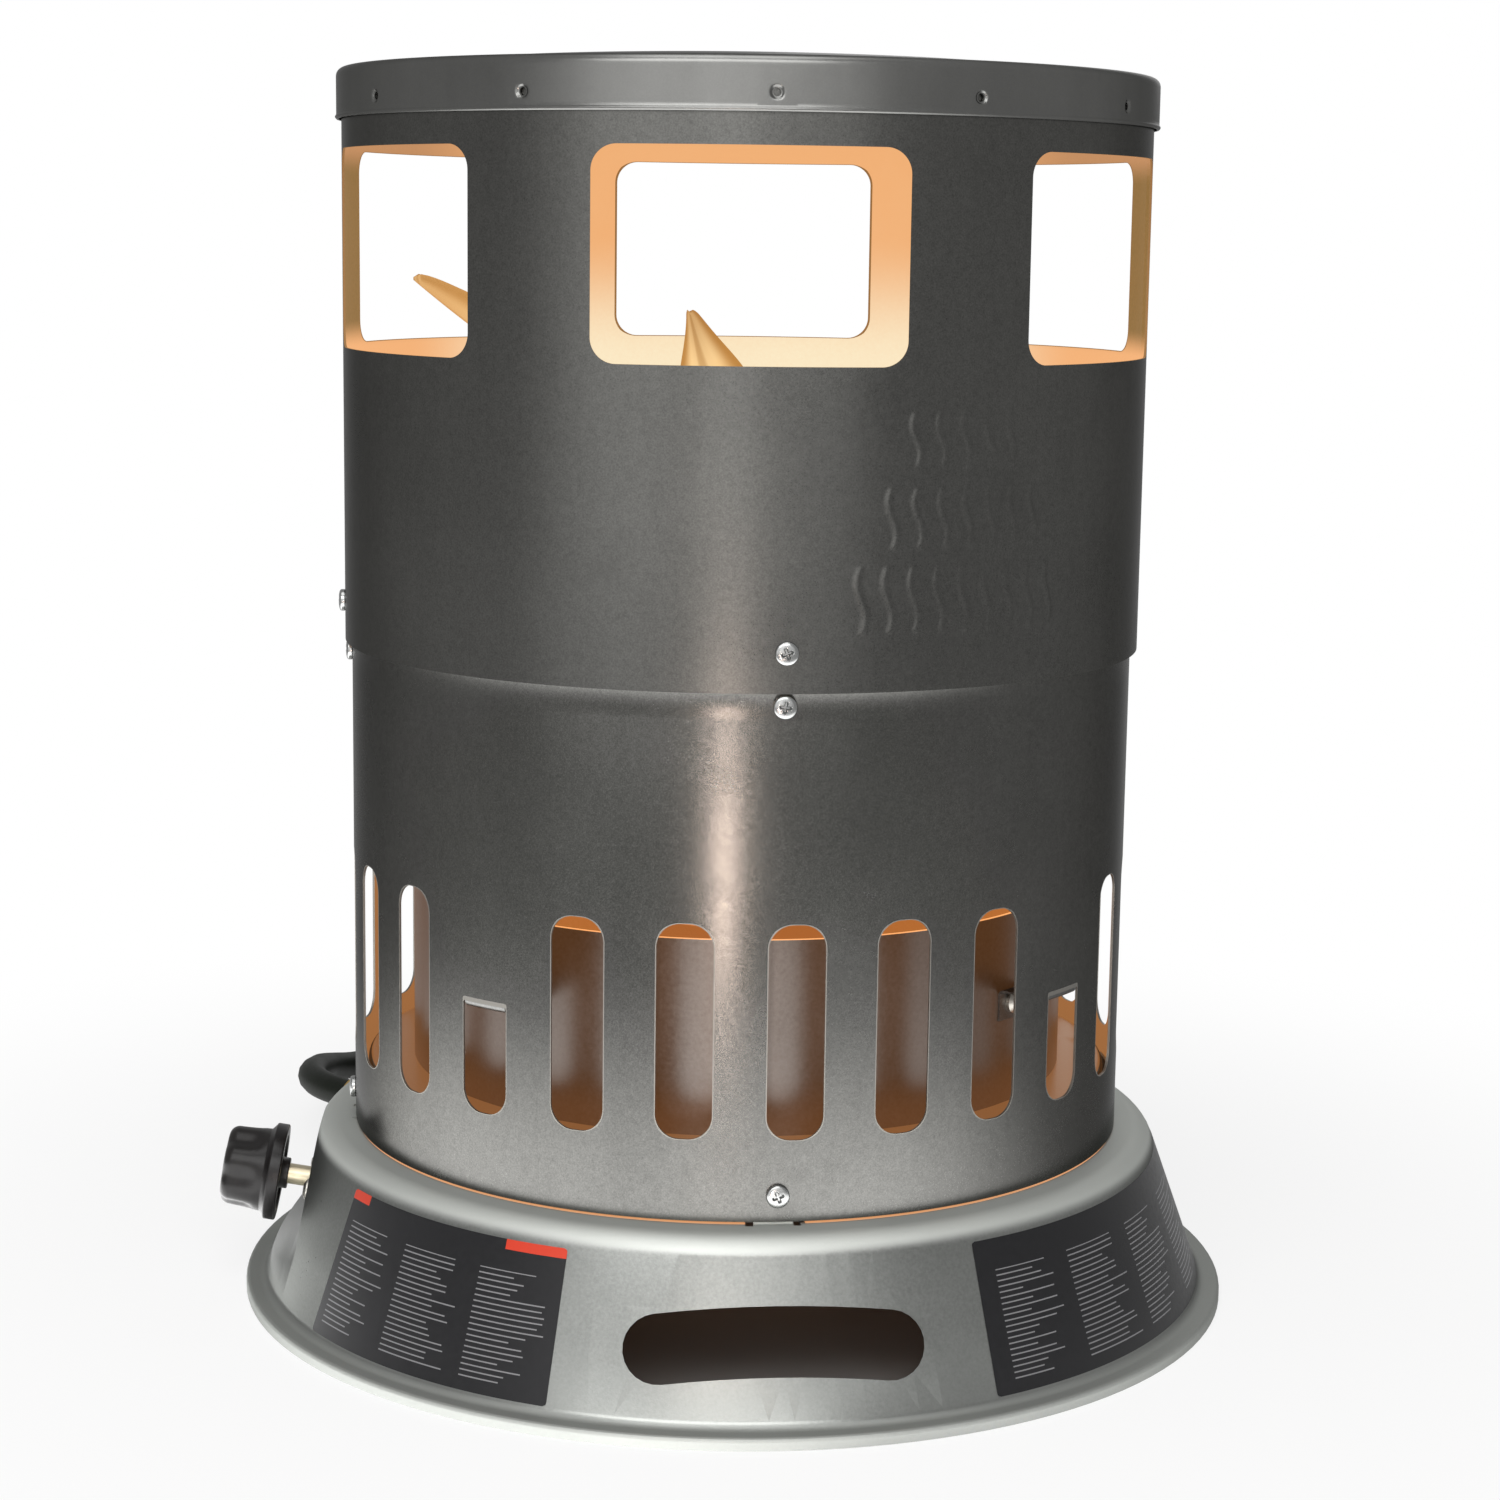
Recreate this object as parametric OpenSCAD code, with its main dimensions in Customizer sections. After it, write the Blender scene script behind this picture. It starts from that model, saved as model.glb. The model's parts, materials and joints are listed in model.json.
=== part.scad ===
// Portable propane convection heater: a round sheet-steel tower on a flared base,
// with a valve, a burner, a flame deflector, and a gas hose with its regulator.
// Angles called "az" are measured from the front (-Y) towards +X.

/* [Shell] */
// Outside radius of the lower shell
shell_r = 145; // [138:1:175]
// How far the upper shell stands outside the lower one
shell_step = 2.5; // [2:0.1:4]
// Thickness of the shell sheets
sheet = 0.8; // [0.6:0.1:1]
// Height of the lower shell from its bottom edge to the seam
lower_h = 180.5; // [170:0.5:220]
// Height from the seam to the top edge of the lid
upper_h = 206; // [165:1:250]
// How far the two shells lap over each other
lap_h = 20; // [16:1:24]

/* [Lid] */
// Height of the lid's rim
rim_h = 18; // [14:1:24]
// Gap between the upper shell and the lid's rim
rim_gap = 1; // [0.6:0.1:2]
// Rise of the pressed dome in the lid
dome_h = 5.5; // [2:0.5:10]

/* [Windows] */
// Width of each window across its two sides
window_w = 104; // [60:1:110]
// Height of each window
window_h = 70.5; // [40:0.5:90]
// Corner radius of each window
window_corner = 8.5; // [3:0.5:14]
// Distance from the top edge of the lid to the top of the windows
window_drop = 28.5; // [24:0.5:40]

/* [Slots] */
// Width of each upright slot
slot_w = 19.5; // [12:0.5:22]
// Height of each full slot
slot_h = 74.5; // [50:0.5:90]
// Height of each of the four short slots
short_slot_h = 39; // [28:0.5:44]
// Corner radius of the slots
slot_corner = 8.3; // [3:0.1:9]
// Height of the slots' lower ends above the bottom edge of the shell
slot_rise = 27.5; // [24:0.5:40]

/* [Base] */
// Height of the lower shell's bottom edge above the floor
base_h = 66; // [60:1:84]
// How far the base's turned-down lip stands outside the lower shell
base_flare = 41.8; // [34:0.2:60]
// Thickness of the base sheet
base_sheet = 1; // [0.8:0.1:1.4]
// Height of the lip around the base
lip_h = 4.4; // [3:0.2:7]
// Width of the flange between the wall and the lip
flange_w = 7.6; // [6:0.1:12]
// Radius of the rounded shoulder
shoulder_r = 9; // [8:0.5:20]
// Height of the inner deck above the bottom edge of the shell
deck_rise = 22.5; // [16:0.5:26]
// Radius of the opening in the middle of the deck
deck_hole_r = 52; // [44:1:70]
// Length of each long hole in the base wall
vent_w = 102; // [60:1:110]
// Height of each long hole, along the wall
vent_h = 23.5; // [14:0.5:28]
// Radius that each long hole is bent along
vent_bow = 450; // [300:10:900]

/* [Drum] */
// Outside radius of the inner drum
drum_r = 122.7; // [102.5:0.1:126]
// Height of the inner drum above the deck
drum_h = 69.5; // [50:0.5:90]

/* [Knob] */
// Radius of the knob's skirt
skirt_r = 19.35; // [15:0.05:21]
// Radius of the knob's grip
grip_r = 16; // [12:0.5:18]
// Length of the knob from the back of its skirt
knob_l = 22.5; // [20:0.5:30]
// Radius of the valve stem
stem_r = 3.9; // [3:0.1:4.6]
// How far the knob pushes in before it turns
knob_push = 4; // [2:0.5:5]

/* [Hose] */
// Outside diameter of the gas hose
hose_d = 12.5; // [11:0.1:12.6]
// Middle radius of the coiled hose
coil_r = 70; // [70:1:75]

/* [Hidden] */
$fn = 96;

// levels
shell_z = base_h;
seam_z = shell_z + lower_h;
top_z = seam_z + upper_h;
deck_z = base_h + deck_rise;
drum_top = deck_z + drum_h;
ledge_z = base_h - 2;
window_z = top_z - window_drop - window_h / 2;
slot_z = shell_z + slot_rise + slot_h / 2;
short_slot_top = shell_z + slot_rise + short_slot_h;

// radii
upper_r = shell_r + shell_step;
lid_r = upper_r + rim_gap + sheet;
rim_bend = 3;
shell_top = top_z - rim_bend - 0.05
  + sqrt(pow(rim_bend - sheet, 2) - pow(rim_bend - rim_gap - sheet, 2));
shell_in = shell_r - sheet;
deck_r = shell_in - 4.2;
base_r = shell_r + base_flare;
foot_r = base_r - flange_w;

// base wall: a cone that leaves the floor flange at foot_r and meets the shoulder
wall_top_r = shell_r + 17.6;
wall_tilt = atan((foot_r - wall_top_r) / (base_h - 16 - lip_h));
shoulder_z = ledge_z - shoulder_r;
shoulder_c = wall_r(shoulder_z) - shoulder_r / cos(wall_tilt);
function wall_r(z) = wall_top_r + tan(wall_tilt) * (base_h - 16 - z);

// counts and angles
window_count = 6;
slot_count = 24;
screw_az = 5.3;
tab_az = 4.8;
short_az = 52.5;
vent_az = 4.4;
vent_z = base_h - 38.5;
knob_az = -88;
inlet_az = -128.5;
punch_az = [3, 30, 60, 91, 120, 150, 181, 210, 240, 271, 301, 330];

// screws
head_r = 4;
head_h = 2.4;
shank_r = 1.9;
hole_gap = 0.2;
tab_w = 5.4;
tab_cut = 1.1;
tab_h = 16;
tab_screw_z = shell_z + 8.2;
seam_screw_low = seam_z - 4.6;
seam_screw_high = seam_z + 13.6;

// valve and knob, along the stem's axis from the back of the knob's skirt
knob_tilt = 9.2;
knob_out = shell_r + 28.8;
knob_z = base_h - 28.3;
face_s = -12;
skirt_h = 6;
boss_h = 2.5;
boss_r = 5.9;
running = 0.05;
stem_in = -33;
bonnet_r = 11;
valve_r = 13;
valve_end = -50;
plug_r = 8;
tube_r = 4.75;
lead_port_l = 18;
bend_r = 22;

// inlet fitting, measured from the heater's axis along the inlet's own axis
inlet_z = 30;
inlet_hex_r = 11;
collar_out = wall_r(inlet_z - inlet_hex_r) + 1.6;
hex_end = collar_out + 5.5;
nut_start = hex_end + 1;
nut_end = nut_start + 13;
ferrule_end = nut_end + 12;
inlet_r = 7.6;
inlet_in = wall_r(inlet_z) - 18;

// hose
hose_r = hose_d / 2;
// the route's points suit this base radius, and a wider base carries them all out together
route_base_r = 186.8;
hose_shift = polar(1.15 * (base_r - route_base_r), inlet_az - 5, 0);
coil_at = [-72, 276] + [hose_shift.x, hose_shift.y];
coil_rows = 2;
coil_columns = 4;
coil_h = coil_rows * hose_d;
coil_in = coil_r - coil_columns / 2 * hose_d;
coil_out = coil_r + coil_columns / 2 * hose_d;
tie_t = 1.2;
tie_at = 100;
tail_heading = -30;
hose_route = [
  [-165.12, 131.35, 30], [-172.5, 138.7, 30], [-178.6, 147.7, 29.8], [-182.7, 157.8, 29.3],
  [-184.6, 168.5, 28.3], [-185, 180, 26.6], [-184.6, 193, 24.2], [-184, 206, 21.2],
  [-182.3, 219, 18], [-179.6, 232, 14.6], [-175.9, 245, 11.4], [-171.6, 258, 8.9],
  [-167.5, 270, 7.2], [-163.4, 282, 6.5], [-159.4, 294, hose_r], [-155.4, 306.4, hose_r]
];
tail_route = [
  [-27.3, 353.4, 18.8], [-17, 347.4, 19], [-6.5, 341.4, 20.4], [4, 335.4, 23],
  [12.5, 330.4, 25.1], [19.5, 326.4, 26], [26.4, 322.4, 26]
];
tail_end = tail_route[6] + hose_shift;

// small helpers
function unit(v) = v / norm(v);
function left(v) = [-v.y, v.x];
function arc(c, r, from, to, steps) =
  [for (i = [0:steps]) let (a = from + (to - from) * i / steps) c + r * [cos(a), sin(a)]];
function reversed(p) = [for (i = [len(p) - 1:-1:0]) p[i]];
function offset_path(p, d) = [
  for (i = [0:len(p) - 1])
    let (
      a = left(unit(i > 0 ? p[i] - p[i - 1] : p[1] - p[0])),
      b = left(unit(i < len(p) - 1 ? p[i + 1] - p[i] : p[i] - p[i - 1])),
      n = unit(a + b)
    ) p[i] + n * d / (n * a)
];
function strip(p, t) = concat(p, reversed(offset_path(p, t)));
function polar(r, az, z) = [r * sin(az), -r * cos(az), z];
function inner(p) = [for (i = [1:len(p) - 2]) p[i]];
// a slot with round ends whose middle line is bent downwards along a circle
function bent_slot(w, h, r) =
  let (a = asin((w - h) / 2 / r), x = r * sin(a), y = r * cos(a) - r)
    concat(
      arc([0, -r], r + h / 2, 90 - a, 90 + a, 8),
      inner(arc([-x, y], h / 2, 90 + a, 270 + a, 12)),
      arc([0, -r], r - h / 2, 90 + a, 90 - a, 8),
      inner(arc([x, y], h / 2, 270 - a, 450 - a, 12))
    );

// a round tube swept through points that never run along ref
function heading(p, i) = unit(p[min(i + 1, len(p) - 1)] - p[max(i - 1, 0)]);
function tube_ring(p, i, r, n, ref) =
  let (t = heading(p, i), u = unit(cross(ref, t)), v = cross(t, u))
    [for (k = [0:n - 1]) p[i] + r * (cos(360 * k / n) * u + sin(360 * k / n) * v)];

module swept_tube(p, r, n = 10, ref = [0, 0, 1]) {
  last = (len(p) - 1) * n;
  polyhedron(
    points = [for (i = [0:len(p) - 1]) each tube_ring(p, i, r, n, ref)],
    faces = concat(
      [[for (k = [0:n - 1]) k]],
      [for (i = [0:len(p) - 2], k = [0:n - 1])
        [i * n + k, (i + 1) * n + k, (i + 1) * n + (k + 1) % n, i * n + (k + 1) % n]],
      [[for (k = [n - 1:-1:0]) last + k]]
    )
  );
}

module around(n, first = 0) {
  for (i = [0:n - 1]) {
    rotate([0, 0, first + 360 * i / n]) children();
  }
}

// local +Z points straight out of the heater at this azimuth
module facing(az, r, z, tilt = 0) {
  rotate([0, 0, az]) translate([0, -r, z]) rotate([90 - tilt, 0, 0]) children();
}

module rounded(w, h, r) {
  square([w - 2 * r, h], center = true);
  square([w, h - 2 * r], center = true);
  for (x = [-1, 1], y = [-1, 1]) {
    translate([x * (w / 2 - r), y * (h / 2 - r)]) circle(r);
  }
}

module ring(r, t, z, h) {
  translate([0, 0, z]) difference() {
    cylinder(r = r, h = h);
    translate([0, 0, -1]) cylinder(r = r - t, h = h + 2);
  }
}

// part of a turned section, from one azimuth to another
module sector(az, span) {
  rotate([0, 0, az - 90]) rotate_extrude(angle = span) children();
}

module box_section(r_in, r_out, z_low, z_high) {
  translate([r_in, z_low]) square([r_out - r_in, z_high - z_low]);
}

// pan-head screw with its seat at z = 0 and its head towards +Z
module pan_screw(length) {
  difference() {
    union() {
      cylinder(r = head_r, h = head_h * 0.55);
      translate([0, 0, head_h * 0.55]) cylinder(r1 = head_r, r2 = head_r * 0.55, h = head_h * 0.45);
    }
    for (a = [0, 90]) {
      rotate([0, 0, a + 20]) translate([-2, -0.45, head_h - 1]) cube([4, 0.9, 2]);
    }
  }
  translate([0, 0, -length]) cylinder(r = shank_r, h = length);
}

module hex_prism(across, h) {
  cylinder(r = across / sqrt(3), h = h, $fn = 6);
}

// ---- lid -------------------------------------------------------------------
lid_path = concat(
  [[lid_r, top_z - rim_h]],
  arc([lid_r - rim_bend, top_z - rim_bend], rim_bend, 0, 90, 5),
  [[lid_r - 12, top_z], [lid_r - 16, top_z - 1.6], [lid_r - 20, top_z - 1.6],
   [lid_r - 28, top_z + 1.5], [lid_r * 0.5, top_z + dome_h * 0.8], [0.5, top_z + dome_h]]
);

module top_cover() {
  color([0.62, 0.62, 0.6]) difference() {
    union() {
      rotate_extrude() polygon(strip(lid_path, sheet));
      translate([0, 0, top_z + dome_h - sheet]) cylinder(r = 1, h = sheet);
      ring(lid_r - sheet, 0.4, top_z - rim_h, 2.4);
      for (az = punch_az) {
        facing(az, upper_r, top_z - 12) cylinder(r = 2.3, h = rim_gap + sheet / 2);
      }
    }
    for (az = punch_az) {
      facing(az, upper_r - 1, top_z - 12) cylinder(r = 1.3, h = 6);
    }
  }
}

// ---- upper shell -----------------------------------------------------------
module upper_shell() {
  color([0.6, 0.6, 0.58]) difference() {
    union() {
      ring(upper_r, sheet, seam_z, shell_top - seam_z);
      sector(87, 6) box_section(upper_r - 2 * sheet, upper_r - sheet, seam_z + lap_h + 4,
        shell_top);
    }
    around(window_count) facing(0, upper_r - 12, window_z) linear_extrude(24)
      rounded(window_w, window_h, window_corner);
    around(4, screw_az) facing(0, upper_r - 6, seam_screw_high)
      cylinder(r = shank_r + hole_gap, h = 12);
  }
}

// ---- lower shell -----------------------------------------------------------
module short_slot_tab() {
  az = short_az - tab_w / 2 - 0.5;
  sector(az, tab_w + 1) box_section(drum_r + sheet, shell_in + sheet / 2, short_slot_top,
    short_slot_top + sheet);
  sector(az, tab_w + 1) box_section(drum_r, drum_r + sheet, short_slot_top - 13,
    short_slot_top + sheet);
}

lower_section = [
  [shell_in, shell_z], [shell_r, shell_z], [shell_r, seam_z + 0.3],
  [upper_r - sheet, seam_z + 3.5], [upper_r - sheet, seam_z + lap_h],
  [upper_r - 2 * sheet, seam_z + lap_h], [upper_r - 2 * sheet, seam_z + 3.8],
  [shell_in, seam_z + 0.6]
];

module lower_shell() {
  color([0.6, 0.6, 0.58]) difference() {
    union() {
      difference() {
        rotate_extrude() polygon(lower_section);
        for (i = [0:slot_count - 1]) {
          az = 7.5 + i * 360 / slot_count;
          short = abs((az + 360 - short_az) % 90) < 1;
          h = short ? short_slot_h : slot_h;
          facing(az, shell_r - 10, shell_z + slot_rise + h / 2) linear_extrude(20) {
            rounded(slot_w, h, slot_corner);
            if (short) translate([-slot_w / 2, 0]) square([slot_w, h / 2]);
          }
        }
      }
      around(4) short_slot_tab();
    }
    around(4, screw_az) {
      facing(0, shell_r - 6, tab_screw_z) cylinder(r = shank_r + hole_gap, h = 12);
      facing(0, shell_r - 6, seam_screw_low) cylinder(r = shank_r + hole_gap, h = 12);
      facing(0, shell_r - 6, seam_screw_high) cylinder(r = shank_r, h = 12);
    }
    around(4, short_az) facing(0, drum_r - 4, short_slot_top - 7)
      cylinder(r = shank_r, h = 12);
  }
}

module seam_screws() {
  color([0.75, 0.74, 0.7]) around(4, screw_az) {
    facing(0, upper_r, seam_screw_high) pan_screw(8);
    facing(0, shell_r, seam_screw_low) pan_screw(8);
  }
}

module tab_screws() {
  color([0.75, 0.74, 0.7]) around(4, screw_az) facing(0, shell_r, tab_screw_z)
    pan_screw(shell_r - deck_r - 0.4);
}

module drum_screws() {
  color([0.75, 0.74, 0.7]) around(4, short_az)
    facing(0, drum_r + sheet, short_slot_top - 7) pan_screw(6);
}

// ---- inner drum ------------------------------------------------------------
module inner_drum() {
  color([0.62, 0.6, 0.57]) difference() {
    union() {
      ring(drum_r, sheet, deck_z, drum_h);
      ring(drum_r, 12, deck_z, sheet);
    }
    around(4, short_az) facing(0, drum_r - 4, short_slot_top - 7)
      cylinder(r = shank_r, h = 8);
    around(4, 20) translate([0, -drum_r + 6.5, deck_z - 1]) cylinder(r = shank_r, h = 4);
  }
}

module deck_screws() {
  color([0.75, 0.74, 0.7]) around(4, 20) translate([0, -drum_r + 6.5, deck_z + sheet])
    pan_screw(6);
}

// ---- base ------------------------------------------------------------------
base_path = concat(
  [[base_r, 0]],
  arc([base_r - 1.6, lip_h - 1.6], 1.6, 0, 90, 4),
  arc([wall_r(lip_h + 4) + 4 / cos(wall_tilt), lip_h + 4], 4, 270, 180 + wall_tilt, 4),
  arc([shoulder_c, shoulder_z], shoulder_r, wall_tilt, 90, 8),
  arc([deck_r + 1.5, ledge_z + 1.5], 1.5, 270, 180, 3),
  arc([deck_r - 2, deck_z - 2], 2, 0, 90, 4)
);
base_inner_path = offset_path(base_path, base_sheet);

module base_outer_solid() {
  rotate_extrude() polygon(concat([[0, 0]], base_path, [[0, deck_z]]));
}

module base_inner_solid() {
  rotate_extrude() polygon(concat(
    [[0, -5], [base_r - base_sheet, -5]], base_inner_path, [[0, deck_z - base_sheet]]));
}

// the flat face pressed into the wall behind the knob, and the slope below it
knob_face_r = knob_out + face_s * cos(knob_tilt);
knob_face_z = knob_z + face_s * sin(knob_tilt);
function face_r(z) = knob_face_r + tan(knob_tilt) * (knob_face_z - z);
face_low = 21.2;
face_path = [
  [base_r + 6, lip_h - 0.4], [base_r - 1.6, lip_h + 0.8], [face_r(face_low) + 3, face_low - 2.6],
  [face_r(face_low), face_low], [face_r(base_h + 14), base_h + 14]
];

module knob_face_cut(depth) {
  p = offset_path(face_path, depth);
  rotate([0, 0, knob_az - 90]) rotate([90, 0, 0]) translate([0, 0, -90]) linear_extrude(180)
    polygon(concat(p, [[base_r + 40, base_h + 14], [base_r + 40, p[0].y]]));
}

module base_shape() {
  difference() {
    base_outer_solid();
    knob_face_cut(0);
    difference() {
      base_inner_solid();
      knob_face_cut(base_sheet);
    }
  }
}

module base_pan() {
  color([0.62, 0.63, 0.61]) difference() {
    union() {
      base_shape();
      around(4) sector(tab_az - tab_w / 2, tab_w)
        box_section(shell_in - base_sheet, shell_in, ledge_z - base_sheet, shell_z + tab_h);
    }
    translate([0, 0, deck_z - 4]) cylinder(r = deck_hole_r, h = 8);
    around(4) {
      for (az = [tab_az - tab_w / 2 - tab_cut, tab_az + tab_w / 2]) {
        sector(az, tab_cut) box_section(shell_in - base_sheet - 3, shell_r + 1.4, ledge_z - 3,
          ledge_z + 3);
      }
      facing(screw_az, shell_in - 4, tab_screw_z) cylinder(r = shank_r, h = 6);
    }
    around(2, vent_az) facing(0, wall_r(vent_z) - 12, vent_z, wall_tilt) linear_extrude(40)
      polygon(bent_slot(vent_w, vent_h, vent_bow));
    around(4, 20) translate([0, -drum_r + 6.5, deck_z - 4]) cylinder(r = shank_r, h = 8);
    around(2, 0) translate([0, -deck_hole_r - 8, deck_z - 4]) cylinder(r = shank_r, h = 8);
    stem_frame() {
      translate([0, 0, face_s - 6]) cylinder(r = stem_r + 1.1, h = 12);
      for (x = [-1, 1]) {
        translate([x * 16, 0, face_s - 6]) cylinder(r = shank_r, h = 12);
      }
    }
    facing(inlet_az, inlet_in, inlet_z) cylinder(r = inlet_r + 0.1, h = 40);
    translate(polar(deck_hole_r + 12, -60, deck_z - 4)) cylinder(r = 2.4, h = 8);
  }
}

// ---- flame deflector -------------------------------------------------------
// each ear: azimuth, radius of its tip, half width at its root, radius of its tip
dish_z = window_z - window_h / 2 - 34;
dish_r = 58;
ear_rise = 33;
ears = [[-74, 124, 17, 4], [-168, 104, 13, 1.6], [45, 80, 14, 4]];

module ear(az, tip_r, half_w, round_r) {
  run = (tip_r - dish_r + 6) / cos(ear_rise);
  rotate([0, 0, az]) translate([0, -dish_r + 6, dish_z + 8]) rotate([180 - ear_rise, 0, 0])
    linear_extrude(1) {
      polygon([[-half_w, 0], [half_w, 0], [round_r, run - round_r], [-round_r, run - round_r]]);
      translate([0, run - round_r]) circle(round_r, $fn = 32);
    }
}

module deflector() {
  color([0.78, 0.52, 0.3]) {
    difference() {
      rotate_extrude() polygon(strip([[dish_r, dish_z + 11], [dish_r - 14, dish_z + 1],
        [dish_r - 18, dish_z], [0.5, dish_z]], 1.2));
      around(3, 70) translate([0, -30, dish_z - 3]) cylinder(r = shank_r, h = 6);
    }
    translate([0, 0, dish_z - 1.2]) cylinder(r = 1, h = 1.2);
    for (e = ears) {
      ear(e[0], e[1], e[2], e[3]);
    }
  }
}

leg_az = 70;
leg_r = drum_r - sheet;
module deflector_legs() {
  color([0.66, 0.62, 0.56]) around(3, leg_az) difference() {
    union() {
      translate([-8, -leg_r + 1.2, drum_top - 30]) cube([16, 1.5, dish_z - drum_top + 28.8]);
      translate([-8, -leg_r + 1.2, dish_z - 2.7]) cube([16, leg_r - 1.2 - 22, 1.5]);
      translate([-8, -leg_r + 0.3, drum_top - 30]) cube([16, 2, 24]);
    }
    translate([0, -30, dish_z - 5]) cylinder(r = shank_r, h = 8);
    facing(0, leg_r - 8, drum_top - 18) cylinder(r = shank_r, h = 12);
  }
}

module deflector_screws() {
  color([0.75, 0.74, 0.7]) around(3, leg_az) {
    translate([0, -30, dish_z]) pan_screw(6);
    translate([0, -leg_r + 2.7, drum_top - 18]) rotate([-90, 0, 0]) pan_screw(2.2);
  }
}

// ---- burner ----------------------------------------------------------------
burner_r = 44;
burner_z = deck_z + 26;
venturi_r = 14;

module burner_head() {
  color([0.3, 0.29, 0.28]) difference() {
    union() {
      translate([0, 0, burner_z]) cylinder(r1 = venturi_r + 4, r2 = burner_r, h = 16);
      translate([0, 0, burner_z + 16]) cylinder(r = burner_r, h = 14);
      translate([0, 0, burner_z - 10]) cylinder(r = venturi_r + 4, h = 10);
    }
    translate([0, 0, burner_z + 3]) cylinder(r1 = venturi_r, r2 = burner_r - 3, h = 14);
    translate([0, 0, burner_z + 17]) cylinder(r = burner_r - 3, h = 14);
    translate([0, 0, burner_z - 11]) cylinder(r = venturi_r, h = 16);
  }
}

module burner_ports_plate() {
  color([0.45, 0.43, 0.4]) difference() {
    translate([0, 0, burner_z + 30]) cylinder(r = burner_r + 1, h = 2);
    around(12) translate([0, -burner_r + 8, burner_z + 29]) cylinder(r = 2.5, h = 4);
    around(6) translate([0, -burner_r + 22, burner_z + 29]) cylinder(r = 2.5, h = 4);
  }
}

module venturi_tube() {
  color([0.6, 0.6, 0.58]) {
    ring(venturi_r, 1.5, deck_z - 22, burner_z - deck_z + 22 + 5);
    ring(venturi_r + 7, 7.5, deck_z + 1.5, 2);
  }
}

module air_shutter() {
  color([0.7, 0.68, 0.64]) difference() {
    ring(venturi_r + 1.3, 1.3, deck_z - 26, 18);
    around(4, 45) facing(0, venturi_r - 4, deck_z - 19) linear_extrude(8)
      rounded(9, 8, 2);
  }
}

module burner_bracket() {
  color([0.66, 0.66, 0.64]) difference() {
    translate([-20, -deck_hole_r - 14, deck_z]) cube([40, 2 * deck_hole_r + 28, 1.5]);
    translate([0, 0, deck_z - 1]) cylinder(r = venturi_r, h = 4);
    around(2) translate([0, -deck_hole_r - 8, deck_z - 1]) cylinder(r = shank_r, h = 4);
    rotate([0, 0, 90]) around(2) translate([0, -venturi_r - 4, deck_z - 1])
      cylinder(r = 1.2, h = 6);
  }
}

module bracket_screws() {
  color([0.75, 0.74, 0.7]) around(2) translate([0, -deck_hole_r - 8, deck_z + 1.5])
    pan_screw(6);
}

// ---- gas way to the burner -------------------------------------------------
bend_z = knob_z - tan(knob_tilt) * (knob_out - bend_r - bend_r * sin(knob_tilt))
  + bend_r * cos(knob_tilt);
elbow_z = bend_z + 8;
jet_z = elbow_z + 18;

module jet_elbow() {
  color([0.78, 0.66, 0.38]) difference() {
    union() {
      translate([0, 0, elbow_z]) hex_prism(17, 12);
      translate([0, 0, elbow_z + 12]) cylinder(r = 6, h = 6);
    }
    translate([0, 0, elbow_z - 1]) cylinder(r = tube_r, h = 9);
    translate([0, 0, elbow_z + 7]) cylinder(r = 3, h = 12);
  }
}

module jet() {
  color([0.82, 0.7, 0.4]) difference() {
    union() {
      translate([0, 0, jet_z - 6]) cylinder(r = 3, h = 6);
      translate([0, 0, jet_z]) hex_prism(8, 5);
      translate([0, 0, jet_z + 5]) cylinder(r1 = 3.6, r2 = 1.6, h = 4);
    }
    translate([0, 0, jet_z - 7]) cylinder(r = 0.8, h = 18);
  }
}

function port_at(s) =
  polar(knob_out + s * cos(knob_tilt), knob_az, knob_z + s * sin(knob_tilt));
module stem_frame() {
  facing(knob_az, knob_out, knob_z, knob_tilt) children();
}

manifold_path = concat(
  [port_at(valve_end - 2)],
  [for (p = arc([bend_r, bend_z], bend_r, 270 + knob_tilt, 180, 9)) polar(p.x, knob_az, p.y)],
  [[0, 0, bend_z + 14]]
);

module manifold_tube() {
  color([0.74, 0.74, 0.72])
    swept_tube(manifold_path, tube_r - 0.15, 12, [cos(knob_az), sin(knob_az), 0]);
}

module manifold_nuts() {
  color([0.8, 0.68, 0.4]) {
    stem_frame() translate([0, 0, valve_end - 16]) difference() {
      hex_prism(16, 8);
      translate([0, 0, -1]) cylinder(r = tube_r, h = 10);
    }
    translate([0, 0, bend_z]) difference() {
      hex_prism(16, 8);
      translate([0, 0, -1]) cylinder(r = tube_r, h = 10);
    }
  }
}

// ---- knob and valve --------------------------------------------------------
module knob() {
  color([0.05, 0.05, 0.05]) stem_frame() difference() {
    union() {
      translate([0, 0, -boss_h]) cylinder(r = boss_r, h = boss_h);
      cylinder(r1 = skirt_r, r2 = skirt_r - 1.4, h = skirt_h);
      difference() {
        rotate_extrude() polygon(concat([[0, skirt_h - 1], [grip_r, skirt_h - 1]],
          arc([grip_r - 7, knob_l - 7], 7, 0, 90, 6), [[0, knob_l]]));
        around(6, 30) translate([0, grip_r + 5.5, skirt_h]) cylinder(r = 8, h = knob_l);
      }
    }
    difference() {
      translate([0, 0, -boss_h - 1]) cylinder(r = stem_r + running, h = boss_h + 16);
      translate([stem_r - 1.2 + running, -6, 1.5]) cube([4, 12, 16]);
    }
  }
}

module valve_stem() {
  color([0.8, 0.74, 0.6]) stem_frame() difference() {
    translate([0, 0, stem_in]) cylinder(r = stem_r, h = 14 - stem_in);
    translate([stem_r - 1.2, -6, 1]) cube([4, 12, 16]);
    translate([0, 0, -14.4]) difference() {
      cylinder(r = stem_r + 1, h = 1.5);
      translate([0, 0, -1]) cylinder(r = stem_r - 0.8, h = 4);
    }
  }
}

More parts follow.
